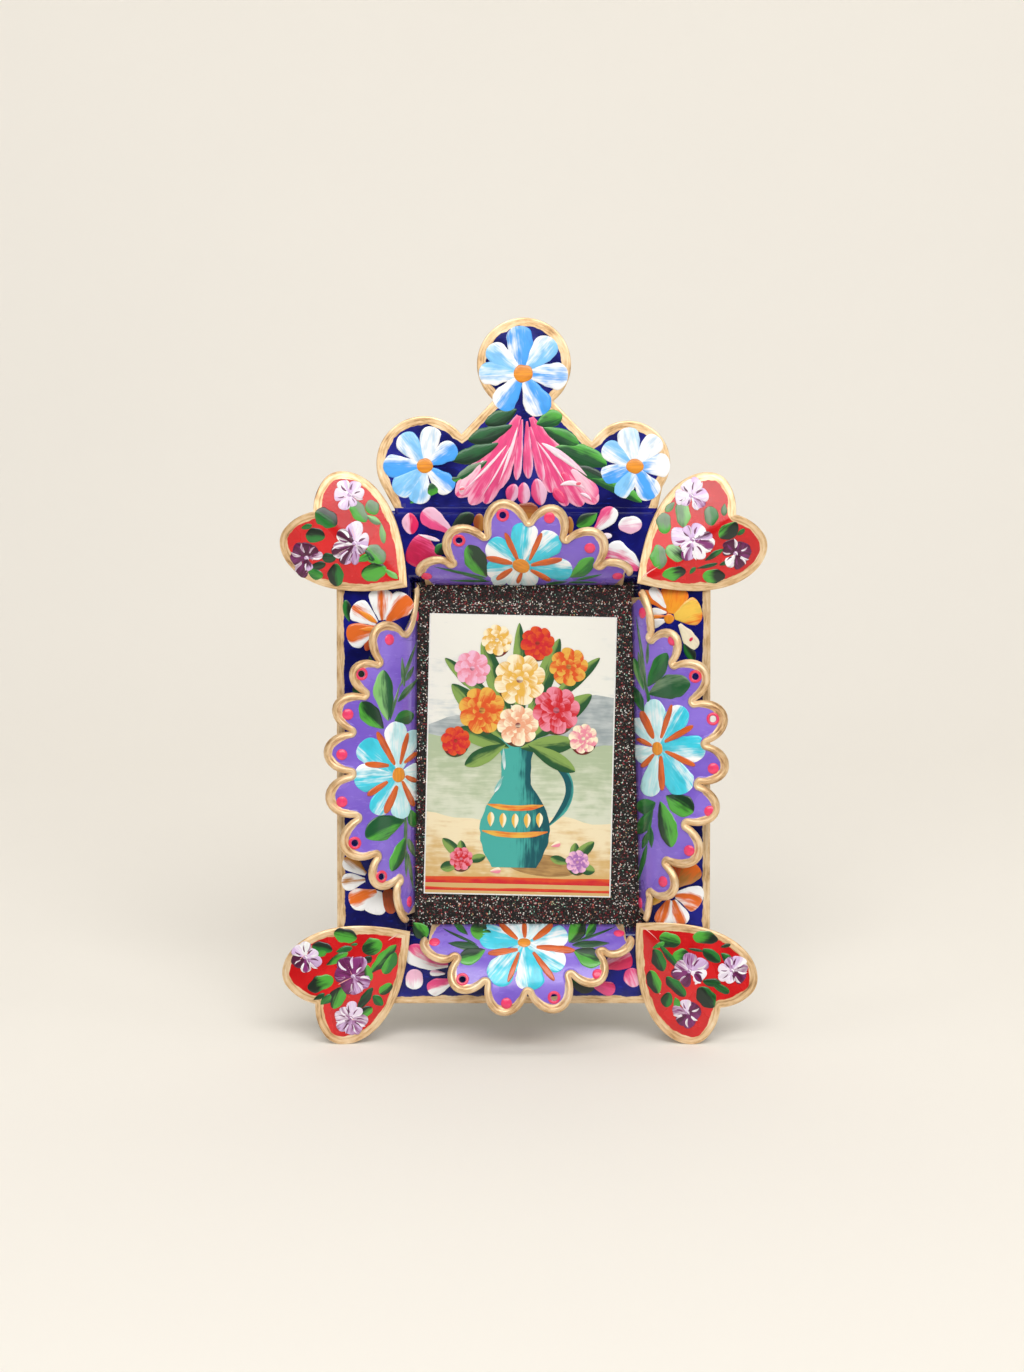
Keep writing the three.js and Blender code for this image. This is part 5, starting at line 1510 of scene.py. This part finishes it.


# Each heart's spray: leaves as (x0, z0, x1, z1, width, paints, spread), blossoms as middle and petals,
# each (end x, end z, width, paints, spread), and thin pale strokes as (x0, z0, x1, z1, width);
# the pale strokes along the crease near the tip are a painted highlight on the crease
SPRAYS = {
    "heart_upper_left": ([
        (-55.8, 133.2, -50.2, 129.4, 5.2, (GREEN, MOSS), HALF),
        (-58.6, 126.8, -53.3, 126.4, 4.2, (GREEN, MOSS), HALF),
        (-59.8, 128.6, -56.8, 129.4, 1.8, (GREEN, FERN)),
        (-46.8, 136, -42.3, 130.3, 4.2, (LIME, SAGE), HALF),
        (-41.6, 136.2, -39.8, 132.2, 3.8, (SAGE, LIME), (0.2, 0.5, -0.3, 0)),
        (-42.4, 132, -38.4, 129.8, 2, PALE_LEAF, HALF), (-38.4, 130, -37.6, 124.4, 1.8, PALE_LEAF),
        (-41.8, 123.8, -37.6, 119.2, 4.8, (SAGE, LIME), OTHER_HALF),
        (-42.6, 122.8, -40, 119.6, 2.4, (MOSS, FERN)), (-45, 119.6, -41, 121.6, 2.2, (LIME, GREEN)),
        (-43.6, 116, -36.8, 117.8, 5.2, (LIME, MOSS), THIN_EDGE),
        (-37.2, 117.6, -33.8, 115, 1.7, (LIME, MINT)),
        (-50.6, 119.2, -50.2, 113, 4.6, (MOSS, GREEN), HALF), (-58, 117.2, -54, 115.6, 3, (GREEN, LIME)),
        (-57.2, 118.2, -53.2, 119, 2.6, (MOSS, FERN)), (-54.2, 120.6, -50.4, 120.6, 3.2, (MOSS, FERN)),
    ], [
        ((-46.8, 137.4), [
            (-49, 141.4, 3.8, (LILAC, WHITE), HALF), (-51, 137.6, 4, WHITE_LILAC),
            (-45, 141.2, 3.4, WHITE_LILAC, HALF), (-43, 137.6, 4, (MIST, PURPLE), (0.2, 0, -0.3, 0)),
            (-48.4, 133.4, 3.6, WHITE_LILAC), (-45.6, 134.4, 2.4, WHITE_LILAC),
        ]),
        ((-45.4, 124.4), [
            (-46.2, 130.1, 5, WHITE_LILAC, HALF), (-41.6, 125, 4.6, (LILAC, MIST), HALF),
            (-51.4, 121.6, 3.8, (PLUM, MIST), THIN_EDGE), (-48.4, 118.9, 3.6, (PLUM, LILAC), THIN_EDGE),
            (-45.6, 118.8, 2.4, (LILAC, PURPLE)), (-50.2, 127, 4.2, (PLUM, WHITE), (-0.2, 0.2, 0.5, 0.9)),
            (-51.2, 123.6, 2.4, (WHITE, PURPLE)), (-43, 121.8, 2.2, (MIST, PLUM)),
        ]),
        ((-58.4, 120.6), [
            (-62, 123.4, 4.4, DARK_BLOSSOM, (0.2, 0.1, 0, 0)),
            (-58.4, 124.8, 4.4, DARK_BLOSSOM, (0.2, 0.1, 0, 0)),
            (-55.2, 122.8, 4, DARK_BLOSSOM, (0.1, 0.1, 0, 0)),
            (-62.4, 119.6, 4, DARK_BLOSSOM, (0.3, 0.1, 0, 0)),
            (-60.6, 116, 4.2, DARK_BLOSSOM, (0.2, 0.1, 0, 0)), (-57.6, 117.2, 3, (PLUM, LILAC), TIPPED),
            (-54, 121.6, 2.6, (PURPLE, MIST), (0.4, 0.3, 0, 0)),
        ]),
    ], [
        (-57, 119.8, -54.2, 121.8, 0.6), (-59.6, 116.3, -58, 117, 0.9), (-50.6, 121.4, -47, 123.2, 0.6),
        (-46.4, 128.8, -45.4, 125, 0.6), (-50.6, 137.2, -47.4, 136.6, 0.5),
    ]),
    "heart_upper_right": ([
        (37.6, 132.8, 38, 127, 4.2, (SAGE, LIME), TIPPED),
        (42.4, 135.8, 43, 128.8, 4.2, PALE_LEAF, (0.2, 0.2, 0.3, 0.3)),
        (40.6, 135.6, 38.2, 133, 2.2, PALE_LEAF),
        (50, 134.5, 50.6, 129.2, 4, (SAGE, GREEN), HALF), (54, 135.2, 53.8, 131.8, 1.8, (SAGE, GREEN)),
        (52.6, 126, 57.4, 130, 4.4, (MOSS, LIME), (0.35, -0.3, 0.4, 0)),
        (57.3, 126.7, 59.4, 128.4, 1.5, (PINE, GREEN)), (36, 124.2, 36.6, 117.6, 4.4, (LIME, SAGE), HALF),
        (38.4, 123.6, 42.8, 120.2, 4.6, (MINT, MOSS), (0, 0.8, 0.3, 0)),
        (37.2, 116, 43.6, 117.2, 3.9, (LIME, MOSS), (-0.4, 1.6, 0.1, 0)),
        (48.1, 115.8, 54.3, 115.8, 4.1, (LIME, MOSS), (-0.2, 1.5, 0, 0)),
        (48.6, 119.9, 53.6, 123, 1.8, (PINE, GREEN), TIPPED),
        (46.4, 117.8, 52.2, 119.2, 1.2, (PINE, FERN)), (44.6, 116.3, 46.2, 118.2, 1.2, (GREEN, FERN)),
        (52.6, 118.7, 55.2, 119.8, 1.4, (PINE, GREEN)),
    ], [
        ((45.1, 137.2), [
            (43, 134.6, 3.2, WHITE_LILAC), (48.2, 134.2, 3.4, (LILAC, PURPLE), (0.4, 0, 0.3, 0)),
            (40.8, 136.8, 4.8, WHITE_LILAC, (0.1, 0.2, 0, 0)),
            (43.6, 141.2, 4.4, WHITE_LILAC, (0.2, 0.1, 0, 0)), (47.2, 141.8, 4, WHITE_LILAC, HALF),
            (49.5, 138.2, 4.4, WHITE_LILAC, HALF), (46.8, 133.4, 1.6, (WHITE, LILAC)),
        ]),
        ((45.4, 125.4), [
            (43, 128.8, 3.6, (LILAC, PURPLE), (0.2, 0, 0.2, 0)),
            (39.6, 126.4, 5.6, WHITE_LILAC, (0.4, 0.1, 0, 0)), (42.4, 122.6, 3, (WHITE, LILAC)),
            (50.4, 127.2, 3.2, (LILAC, PLUM), HALF), (48, 129.3, 4.4, (WHITE, LILAC), HALF),
            (51, 123.6, 4.6, (PURPLE, WHITE), (-0.2, 0.1, 0.2, 1)),
            (44.2, 119.9, 4, (PURPLE, LILAC), HALF), (47.6, 120.2, 4, (WHITE, MIST)),
        ]),
        ((57, 121.8), [
            (55.2, 125.5, 4.6, DARK_BLOSSOM, (0.1, 0.1, 0, 0)),
            (59.4, 124.8, 4.4, DARK_BLOSSOM, (0.2, 0.1, 0, 0)),
            (61, 121.4, 4.2, DARK_BLOSSOM, (0.3, 0.1, 0, 0)),
            (58.8, 118.2, 4.2, DARK_BLOSSOM, (0.2, 0.1, 0, 0)),
            (53.6, 123.2, 3.2, DARK_BLOSSOM, (0.1, 0.1, 0, 0)),
            (54.4, 118.7, 3, (WHITE, PLUM), (0.3, -0.2, 0.4, 0)),
        ]),
    ], [
        (57.4, 122, 59.6, 122.3, 0.7), (57.8, 121.8, 57.9, 124.4, 0.6), (57, 120.8, 57.4, 118, 1.2),
        (31.6, 115.2, 36.5, 118.4, 0.6), (46.2, 124.8, 49.8, 126.2, 0.6),
    ]),
    "heart_lower_left": ([
        (-51.3, 21, -45, 19.6, 4.2, (LIME, MOSS), (0.45, -0.1, 0.6, 0)),
        (-57.2, 17.6, -51.6, 16.3, 3.2, (GREEN, MOSS), HALF),
        (-56.2, 14.8, -53.2, 16.2, 2.4, (LIME, GREEN)), (-50.7, 15.9, -46.2, 17.1, 2, (FERN, GREEN)),
        (-53.4, 12.3, -47.4, 15.7, 2.4, (LIME, PINE), (0.8, -0.8, 0.3, 0)),
        (-46.8, 17.7, -44.8, 18.1, 0.9, (FERN, GREEN)),
        (-43.6, 16.3, -38.2, 18.4, 4.8, (LIME, PINE), (0.9, -0.9, -0.1, 0)),
        (-41.2, 10.4, -34.4, 17.9, 3.2, (PINE, LIME), HALF),
        (-34.8, 16, -37.8, 10, 4.4, (LIME, GREEN), HALF), (-43.9, 12.8, -41, 14.7, 2.2, (MOSS, PINE)),
        (-42.8, 12.6, -41.4, 8, 2.9, (MOSS, LIME), (0.6, 0, 0.7, 0)),
        (-58.4, 6, -51.4, 8.8, 4.6, (MOSS, LIME), (-0.3, 1.5, 0.1, 0)),
        (-56.8, 2.9, -53.7, 4.7, 1.6, (PINE, FERN)), (-54.9, 1.7, -51.7, 4.4, 2.4, (FERN, LIME)),
        (-51.6, 0.6, -49.1, 6.5, 4.4, (LIME, MOSS), HALF),
        (-38.9, 4.5, -35.6, 7.2, 3.2, (PINE, LIME), HALF),
        (-40.7, 4.1, -38.1, 1.4, 2.6, (FERN, GREEN), HALF), (-44.9, 0.3, -40.8, 6.3, 2.5, (MOSS, FERN)),
        (-44.4, -1.6, -41, 0.8, 3, (LIME, MOSS), HALF),
    ], [
        ((-59, 14.3), [
            (-62.8, 13.9, 3.6, DARK_BLOSSOM, (0.1, 0, 0, 0)),
            (-61.4, 11.6, 3, DARK_BLOSSOM, (0.1, 0, 0, 0)), (-62, 17.2, 3.8, WHITE_LILAC, HALF),
            (-58.6, 18.6, 3.2, (WHITE, PURPLE), (0.2, 0, 0.3, 0)), (-56, 16.4, 3, WHITE_LILAC),
            (-54.9, 12.3, 4, (LILAC, PURPLE), (0.4, 0, -0.3, 0)),
            (-58.7, 10.3, 3.6, (PURPLE, WHITE), (-0.1, 0, 0, 0.9)),
        ]),
        ((-46, 9.3), [
            (-50.9, 10.6, 4.8, DARK_BLOSSOM), (-48.9, 14.4, 5, (PURPLE, PLUM)),
            (-44.6, 14.7, 5, (PURPLE, LILAC), (0.2, 0.1, -0.4, 0)), (-48.6, 5.2, 4.6, DARK_BLOSSOM),
            (-44.8, 4.6, 4.4, (PURPLE, LILAC)), (-41.6, 7.2, 4, (PURPLE, LILAC)),
            (-43, 11.2, 3, (PURPLE, PLUM)),
        ]),
        ((-46.8, -2.2), [
            (-51, -1.9, 3.4, (PURPLE, MIST)), (-49, 1, 3, (PURPLE, MIST)), (-46.6, 2.6, 3, WHITE_LILAC),
            (-43.8, 0.6, 2.8, WHITE_LILAC), (-42.3, -3.4, 3.4, (PURPLE, MIST)),
            (-44, -5.8, 3.6, (PURPLE, LILAC)), (-47, -6.6, 3.8, (PURPLE, LILAC)),
            (-50.2, -5.2, 3.8, (PLUM, LILAC)),
        ]),
    ], [
        (-48.7, 14.2, -46, 8.8, 0.7), (-50.2, 7, -46.4, 9, 0.6), (-61.4, 12.8, -58.6, 15.4, 0.7),
        (-36.6, 19, -33.2, 21, 0.6), (-47.2, -2, -45.8, -2.6, 1.2), (-46.4, 7.6, -46.2, 4.6, 0.5),
    ]),
    "heart_lower_right": ([
        (36.6, 16.6, 42.4, 15, 4.4, (PINE, LIME), (0.5, -0.1, 0.6, 0)),
        (45.7, 16.8, 52.6, 15.8, 3.8, (LIME, MOSS), (-0.1, 1.2, -0.2, 0)),
        (53.2, 13.8, 56, 14.5, 1.3, (PINE, FERN)), (44.4, 13.5, 48.6, 12.7, 0.9, (PINE, FERN)),
        (48.4, 13.3, 53.2, 9.8, 3.2, (PINE, GREEN), HALF),
        (53.3, 12.2, 56.4, 9.7, 2.4, (PINE, GREEN), HALF),
        (40.2, 11.5, 44.8, 12, 3.6, (LIME, PINE), (-0.2, 1.1, -0.3, 0)),
        (35.2, 13.5, 37.8, 7.4, 3.6, (MOSS, GREEN), HALF), (36.2, 15.2, 41.8, 8.4, 2, (PINE, GREEN), HALF),
        (34.8, 13.6, 38.2, 15.4, 1.6, (GREEN, LIME)),
        (34.2, 7.6, 36.4, 1.3, 3.9, (MOSS, LIME), (0.3, 0, 0.8, 0)),
        (38.6, 5.9, 43.8, 0.6, 3.4, (MOSS, GREEN), HALF),
        (39.2, 1.7, 38.6, -2.5, 3.4, (PINE, GREEN), HALF), (41, 0.3, 41.9, -2.9, 1.9, (LIME, GREEN)),
        (48.4, 4.7, 53.4, 3.9, 2.6, (PINE, GREEN)), (51.2, 3.9, 55.6, 1.5, 2.6, (PINE, GREEN)),
        (47.2, 3, 51.5, -2.4, 4.8, (MOSS, GREEN), THIN_EDGE),
    ], [
        ((56.3, 7.4), [
            (59.6, 4.8, 3.9, DARK_BLOSSOM), (58.8, 11.2, 4.2, (LILAC, WHITE), (0.4, 0, -0.4, 0)),
            (60.6, 7.9, 3.2, (PURPLE, WHITE)), (54.8, 10.8, 3, (PURPLE, LILAC)),
            (52.6, 8.4, 2.8, WHITE_LILAC, PLAIN), (52.6, 5.4, 2.6, WHITE_LILAC, PLAIN),
            (56, 4, 2.6, (WHITE, LILAC)),
        ]),
        ((44.8, 7.3), [
            (43, 3.6, 3.2, DARK_BLOSSOM), (40.2, 5.9, 3.8, (PURPLE, PLUM)),
            (41.3, 9.8, 3.4, (MIST, PURPLE)), (45.2, 12.3, 4, (LILAC, PURPLE)),
            (49, 10.6, 4.4, (LILAC, PURPLE), (0.3, 0, -0.4, 0)), (48.8, 5.4, 5.2, (WHITE, MIST)),
        ]),
        ((44.3, -4), [
            (46.9, -1.6, 3.8, DARK_BLOSSOM), (47.6, -5, 3.8, DARK_BLOSSOM),
            (45.6, -7.8, 3.6, DARK_BLOSSOM), (41.8, -6.8, 3.6, DARK_BLOSSOM),
            (43.9, -0.3, 3.4, WHITE_LILAC), (40.3, -3.6, 3.2, (MIST, PURPLE)),
        ]),
    ], [
        (57, 7.4, 60, 8.8, 0.8), (55.2, 7, 53.2, 6, 0.7), (42.6, 8.2, 45.6, 10.4, 0.7),
        (32, 19.5, 36.5, 15.5, 0.5), (36.7, 1.2, 37.1, 1.3, 0.6),
    ]),
}


def paint_heart(heart):
    paint = Painting("paint_" + heart.name, heart, 0.08, ragged=0.34)
    leaves, blossoms, lights = SPRAYS[heart.name]
    for x0, z0, x1, z1, width, *tones in leaves:
        paint.stroke(x0, z0, x1, z1, width, *tones, shape="broad" if width > 2.4 else "leaf")
    for centre, petals in blossoms:
        paint.blossom(centre, petals)
    # Thin pale strokes: brush lines, and along the crease near the tip a painted highlight
    for x0, z0, x1, z1, width in lights:
        paint.stroke(x0, z0, x1, z1, 0.45 * width, ROSE_PALE_AND_CREASE_HIGHLIGHT, STREAKED, "sliver", 1, 0.03)
    paint.finish("red_enamel")


def paint_eye(heart):
    """The dark eye of the middle blossom on the lower right heart."""
    paint = Painting("paint_heart_lower_right_eye", heart, 0.04)
    paint.stroke(46.2, 6.8, 48, 4.6, 1.9, DARK_BLOSSOM, STREAKED, "round", 4)
    paint.finish("red_enamel")


# Picture card: a made-up jug of flowers before far hills

CARD_CENTRE = (-0.9, 67.1)
CARD_HALF = (25.4, 38.1)
CARD_FRONT = 3.65
CARD_TURN = math.radians(1.3)


class CardFace:
    """The card's front, with places measured from its middle."""

    def at(self, x, z, lift):
        cosine, sine = math.cos(CARD_TURN), math.sin(CARD_TURN)
        return (CARD_CENTRE[0] + x * cosine + z * sine, CARD_FRONT - lift,
                CARD_CENTRE[1] - x * sine + z * cosine)


def paint_card():
    paint = Painting("card_picture", CardFace(), 0, PRINT, 0.05)
    half_x, half_z = CARD_HALF[0] - 0.35, CARD_HALF[1] - 0.35
    teal, dark_teal = linear(70, 170, 160), linear(14, 84, 92)
    vermilion, scarlet, wine = linear(222, 84, 34), linear(206, 34, 44), linear(120, 22, 34)
    gold, rose = linear(232, 180, 76), linear(236, 140, 160)
    leaves = (linear(36, 84, 46), linear(134, 164, 84))

    def panel(low, left, right, tones, share_low, share_high, lift, wavy=1.0):
        """A band of colour from one height up to a wavy line between the heights left and right."""
        columns, rows = 20, 10
        first = len(paint.points)
        for i in range(rows + 1):
            for k in range(columns + 1):
                across = k / columns
                x = -half_x + 2 * half_x * across
                wave = wavy * (0.9 * math.sin(x * 0.19 + low) + 0.4 * math.sin(x * 0.5 + right))
                top = min(left + (right - left) * across + wave, half_z)
                z = low + (top - low) * i / rows
                share = share_low + (share_high - share_low) * i / rows
                paint.vertex(paint.surface.at(x, z, lift), tones, share, (x * 0.9, z * 0.4, low))
        paint.faces += skin(rows + 1, columns + 1, first)

    panel(-half_z, 60, 60, (linear(238, 236, 226), linear(196, 204, 204)), 1.0, 0.0, 0.006)
    panel(-20, 8, 17, (linear(150, 160, 162), linear(196, 202, 200)), 0.4, 0.5, 0.01)
    panel(-22, 6, 2, (linear(214, 218, 196), linear(176, 190, 156)), 0.1, 0.9, 0.014)
    panel(-half_z, -17, -17.5, (linear(214, 176, 112), linear(240, 224, 186)), 0.1, 0.8, 0.018)

    def bloom(x, z, size, outer, inner):
        """A full flower of three rings of petals, on its own shade."""
        half, eye = 0.9 * size, 0.13 * size
        paint.stroke(x - half, z - 0.6, x + half, z - 0.6, size * 1.9, (leaves[0], wine), STREAKED,
                     "round", 1)
        for ring, (count, reach, width) in enumerate(((8, 1.0, 0.7), (6, 0.68, 0.56), (5, 0.38, 0.4))):
            for k in range(count):
                angle = 2 * math.pi * (k + 0.37 * ring) / count + x
                end = (x + size * reach * math.cos(angle), z + size * reach * math.sin(angle))
                paint.stroke(x, z, *end, size * width, (inner, outer), (0.15 - 0.1 * ring, 0.5, 0.35, 0),
                             "petal", 2 + ring, 0.05)
        paint.stroke(x - eye, z, x + eye, z, 2 * eye, (wine, outer), STREAKED, "round", 5)

    # Striped hem of the table cloth, and the jug's shadow
    panel(-35, -33.2, -33.2, (scarlet, vermilion), 0.2, 0.7, 0.022, 0.12)
    panel(-37, -36.2, -36.2, (scarlet, vermilion), 0.2, 0.7, 0.022, 0.12)
    paint.stroke(-3, -29, 17, -30.5, 6, (linear(150, 112, 66), linear(190, 150, 92)), STREAKED, "round")
    # Handle, jug, painted bands and highlight
    paint.stroke(5.6, 1, 8, -19, 2.2, (dark_teal, teal), (0.2, 0, 0.5, 0), "line", 0, 0.34)
    paint.stroke(-1, -30.5, -1, 5, 19, (teal, dark_teal), (0.2, 0, -0.75, 0), "jug", 1)
    paint.many([(-8.6, -13.4, 6.6, -13.4, 1.5), (-9.9, -20.6, 7.9, -20.6, 1.5)], (gold, vermilion),
               STREAKED, "line", 2, -0.06)
    for k in range(5):
        x = -7.6 + 3.3 * k
        z = -18.4 - 0.5 * math.sin(math.pi * (k + 0.5) / 5)
        paint.stroke(x, z - 0.9, x, z + 3.1, 1.9, (CREAM, gold), HALF, "leaf", 2)
    paint.many([(-6.8, -10.2, -4.4, -5.6, 1.2), (-4.2, -4, -4.6, 2, 0.9)], (WHITE, teal), STREAKED,
               "sliver", 3)
    # Leaves behind the flowers
    paint.many([
        (-3, 2, -17, 7, 5), (0, 2, 15, 4, 5), (-4, 4, -19, 19, 5.5), (2, 4, 19, 17, 5.5),
        (-2, 6, -11, 31, 5), (1, 6, 10, 32, 5), (0, 4, -1, 36, 4), (-4, 3, -15, -3, 4.4),
        (2, 3, 15, -4, 4.4), (-5, 12, -21, 26, 3.6), (5, 12, 21, 27, 3.6),
    ], leaves, HALF, "leaf", 1)
    for x, z, size, outer, inner in (
            (-10.6, 12, 6.4, gold, vermilion), (9.5, 12.5, 6.4, rose, scarlet),
            (-0.6, 20.6, 7, CREAM, gold), (-13.5, 23.4, 4.8, PALE_PINK, rose),
            (12.6, 24.4, 5.2, gold, vermilion), (-0.8, 8.2, 5.6, CREAM, linear(236, 166, 130)),
            (4, 30.6, 4.6, vermilion, scarlet), (-7, 31.2, 4.2, CREAM, gold),
            (17, 5, 4, CREAM, rose), (-17.6, 3.6, 4, vermilion, scarlet)):
        bloom(x, z, size, outer, inner)
    # Sprigs that lie on the table at both sides
    for side in (-1, 1):
        paint.many([(side * 14, -29, side * 20.6, -23, 3), (side * 14, -29, side * 8.8, -27.6, 2.4),
                    (side * 16, -30, side * 21, -31, 3), (side * 15, -29, side * 15.6, -23.4, 2.6)],
                   leaves, HALF, "leaf", 1)
    bloom(-15.4, -28.4, 3.2, rose, scarlet)
    bloom(16.2, -28.6, 3.2, PALE_PINK, linear(170, 110, 180))
    paint.many([(-7.4, -31.6, -4.6, -31.2, 1.7), (9, -24.4, 11.4, -23.6, 1.6)], (rose, CREAM), HALF,
               "petal", 2)
    paint.finish("glossy_card")


# Solder at the back

def solder_blobs():
    """Flat, uneven drops of solder where the loop and the hinge bracket are fixed."""
    nodes = Nodes("solder")
    rough = nodes.noise(nodes.place(), 1.4, 4, 0.6)
    nodes.set(Base_Color=nodes.mix(rough, linear(120, 120, 118), linear(186, 186, 184)), Metallic=0.85)
    nodes.set(Roughness=nodes.smooth(rough, 0.3, 0.7, 0.3, 0.55), Normal=nodes.bump(rough, 0.12, 0.8))
    points, faces = [], []

    def blob(x, y, z, wide, tall, thick, lean=0.0):
        """A dome on a face that leans by this slope from the crest's base upward."""
        sides, rings = 18, 5
        first = len(points)
        for i in range(rings + 1):
            angle = math.pi / 2 * i / rings
            for k in range(sides):
                turn = 2 * math.pi * k / sides
                wander = 1 + 0.16 * noise.noise(Vector((x + math.cos(turn), z + math.sin(turn), i * 0.1)))
                reach = max(math.cos(angle), 0.02) * wander
                high = z + tall * reach * math.sin(turn)
                points.append((x + wide * reach * math.cos(turn),
                               y + thick * math.sin(angle) - 0.1 + (high - CREST_BASE) * lean, high))
        faces.extend((d, a, b, c) for a, b, c, d in skin(rings + 1, sides, first, ring=True, flip=True))
        faces.append(tuple(range(len(points) - 1, len(points) - 1 - sides, -1)))

    slope = math.tan(math.radians(CREST_LEAN))
    for x in (-5, 5):
        blob(x, TIN, CREST_BASE + 32, 2.6, 3.4, 1.3, slope)
    cover_back, plate_side = 7.7, 11.2
    for z in (104, 112):
        for x in (-plate_side, plate_side):
            blob(x, cover_back, z, 2.2, 2.0, 0.8)
    piece = make_object("solder", points, faces, [nodes.material])


# Stage, in metres

WALL = 0.86
WARM = (1, 0.995, 0.985)


def build_stage():
    """A pale sheet of paper that lies on the floor and rises behind the object."""
    width, front, radius, height = 3.0, -1.6, 0.5, 2.4
    steps = 12
    profile = [(front, 0.0), (-0.6, 0.0), (0.0, 0.0), (WALL - radius, 0.0)]
    for k in range(1, steps + 1):
        angle = math.pi / 2 * k / steps
        profile.append((WALL - radius + radius * math.sin(angle), radius * (1 - math.cos(angle))))
    profile.append((WALL, height))
    columns = (-width, -width / 3, width / 3, width)
    points = [(x, y, z) for y, z in profile for x in columns]
    mesh = bpy.data.meshes.new("backdrop")
    mesh.from_pydata(points, [], skin(len(profile), len(columns)))
    mesh.polygons.foreach_set("use_smooth", [True] * len(mesh.polygons))
    mesh.materials.append(paper_material())
    backdrop = bpy.data.objects.new("backdrop", mesh)
    scene.collection.objects.link(backdrop)


def area_light(name, place, target, size, power, colour=(1, 1, 1)):
    data = bpy.data.lights.new(name, "AREA")
    data.shape = "RECTANGLE"
    data.size, data.size_y = size
    data.energy = power
    data.color = colour
    light = bpy.data.objects.new(name, data)
    scene.collection.objects.link(light)
    light.location = place
    light.rotation_euler = (Vector(target) - Vector(place)).to_track_quat("-Z", "Y").to_euler()


def build_lights():
    """A large soft light in front, one overhead, one for the wall, and a weak fill from each side."""
    middle = (0, 0, 0.08)
    area_light("softbox", (0.12, -1.36, 1.34), middle, (1.9, 1.0), 31.5, WARM)
    area_light("overhead", (0.1, 0.05, 1.8), (0.1, 0.05, 0), (1.6, 1.0), 5, WARM)
    area_light("wall_light", (0, -0.15, 1.5), (0, WALL, 0.5), (2.2, 0.4), 3.2, (1, 0.985, 0.97))
    for name, side in (("left_fill", -1.2), ("right_fill", 1.2)):
        area_light(name, (side, -0.6, 0.35), middle, (0.5, 0.8), 1.2)
    room = bpy.data.worlds.new("room")
    room.use_nodes = True
    background = room.node_tree.nodes["Background"].inputs
    background["Color"].default_value = (1.0, 0.985, 0.96, 1)
    background["Strength"].default_value = 0.08
    scene.world = room


def build_camera():
    """The photograph's view: straight in front and a little above, over the whole frame."""
    aim = world(-3.13, 0, 86.1)
    elevation = math.radians(9.7)
    distance = 0.75
    data = bpy.data.cameras.new("camera")
    data.lens = 72.9
    data.sensor_width = 36
    camera = bpy.data.objects.new("camera", data)
    scene.collection.objects.link(camera)
    offset = Vector((0, -math.cos(elevation), math.sin(elevation))) * distance
    camera.location = aim + offset
    camera.rotation_euler = (-offset).to_track_quat("-Z", "Y").to_euler()
    scene.camera = camera


def dress(name, material):
    """Gives a CAD node that is shown as it is a finished material."""
    mesh = frame["nodes"][name].data
    mesh.materials.clear()
    mesh.materials.append(material)


fans = {fan.name: fan for fan in (
    Fan("fan_left", (0, 1), 2, 31.6,
        [(0.13, 0.307), (0.205, 0.545), (0.322, 0.718), (0.452, 0.772),
         (0.577, 0.773), (0.688, 0.666), (0.783, 0.541), (0.874, 0.261)], [1, 2, 6],
        ((6, 0.25), (2, -0.12))),
    Fan("fan_top", (1, 2), 0.8, 29.8,
        [(0.161, 0.403), (0.317, 0.684), (0.52, 0.814), (0.691, 0.658), (0.848, 0.379)], [1, 2],
        ((7, 0.38), (7, 0.38))),
    Fan("fan_right", (2, 3), 2, 31.6,
        [(0.144, 0.324), (0.221, 0.555), (0.336, 0.717), (0.462, 0.814),
         (0.582, 0.745), (0.701, 0.632), (0.817, 0.434), (0.914, 0.238)], [2, 3],
        ((7, 0.16), (5, 0.12))),
    Fan("fan_bottom", (3, 0), 3.2, 30.8,
        [(0.148, 0.412), (0.297, 0.632), (0.501, 0.781), (0.702, 0.697), (0.846, 0.466)], [2, 4],
        ((7, 0.38), (7, 0.38))),
)}
hearts = {heart.name: heart for heart in (
    Heart("heart_lower_left", (-30.65, 21.5), 217.4, 5),
    Heart("heart_upper_left", (-31.3, 112.8), 141.2, 10),
    Heart("heart_upper_right", (30.5, 113.8), 34.9, 10),
    Heart("heart_lower_right", (30.45, 20.4), -45.2, 5),
)}
level_feet(hearts["heart_lower_left"], hearts["heart_lower_right"])

build_tray()
build_crest()
for fan in fans.values():
    build_fan(fan)
for heart in hearts.values():
    build_heart(heart)
paint_border()
paint_crest()
paint_fan_left(fans["fan_left"])
paint_fan_top(fans["fan_top"])
paint_fan_right(fans["fan_right"])
paint_fan_bottom(fans["fan_bottom"])
for name in SPRAYS:
    paint_heart(hearts[name])
paint_eye(hearts["heart_lower_right"])
paint_card()
solder_blobs()
dress("glitter_board", glitter_material())
dress("picture_card", card_material("glossy_card", linear(246, 245, 240), 0.2, 0.01))
dress("backing_card", card_material("brown_card", linear(152, 118, 78), 0.9, 0.08))
for name in ("back_cover", "tab_top_left", "tab_top_right", "tab_left", "tab_right", "tab_bottom_left",
             "tab_bottom_right", "hinge_plate"):
    dress(name, TIN_SHEET)
dress("easel_leg", bare_tin("leg_tin"))
for name in ("hanging_loop", "hinge_pin"):
    dress(name, wire_material())

build_stage()
build_lights()
build_camera()
scene.view_settings.view_transform = "Standard"
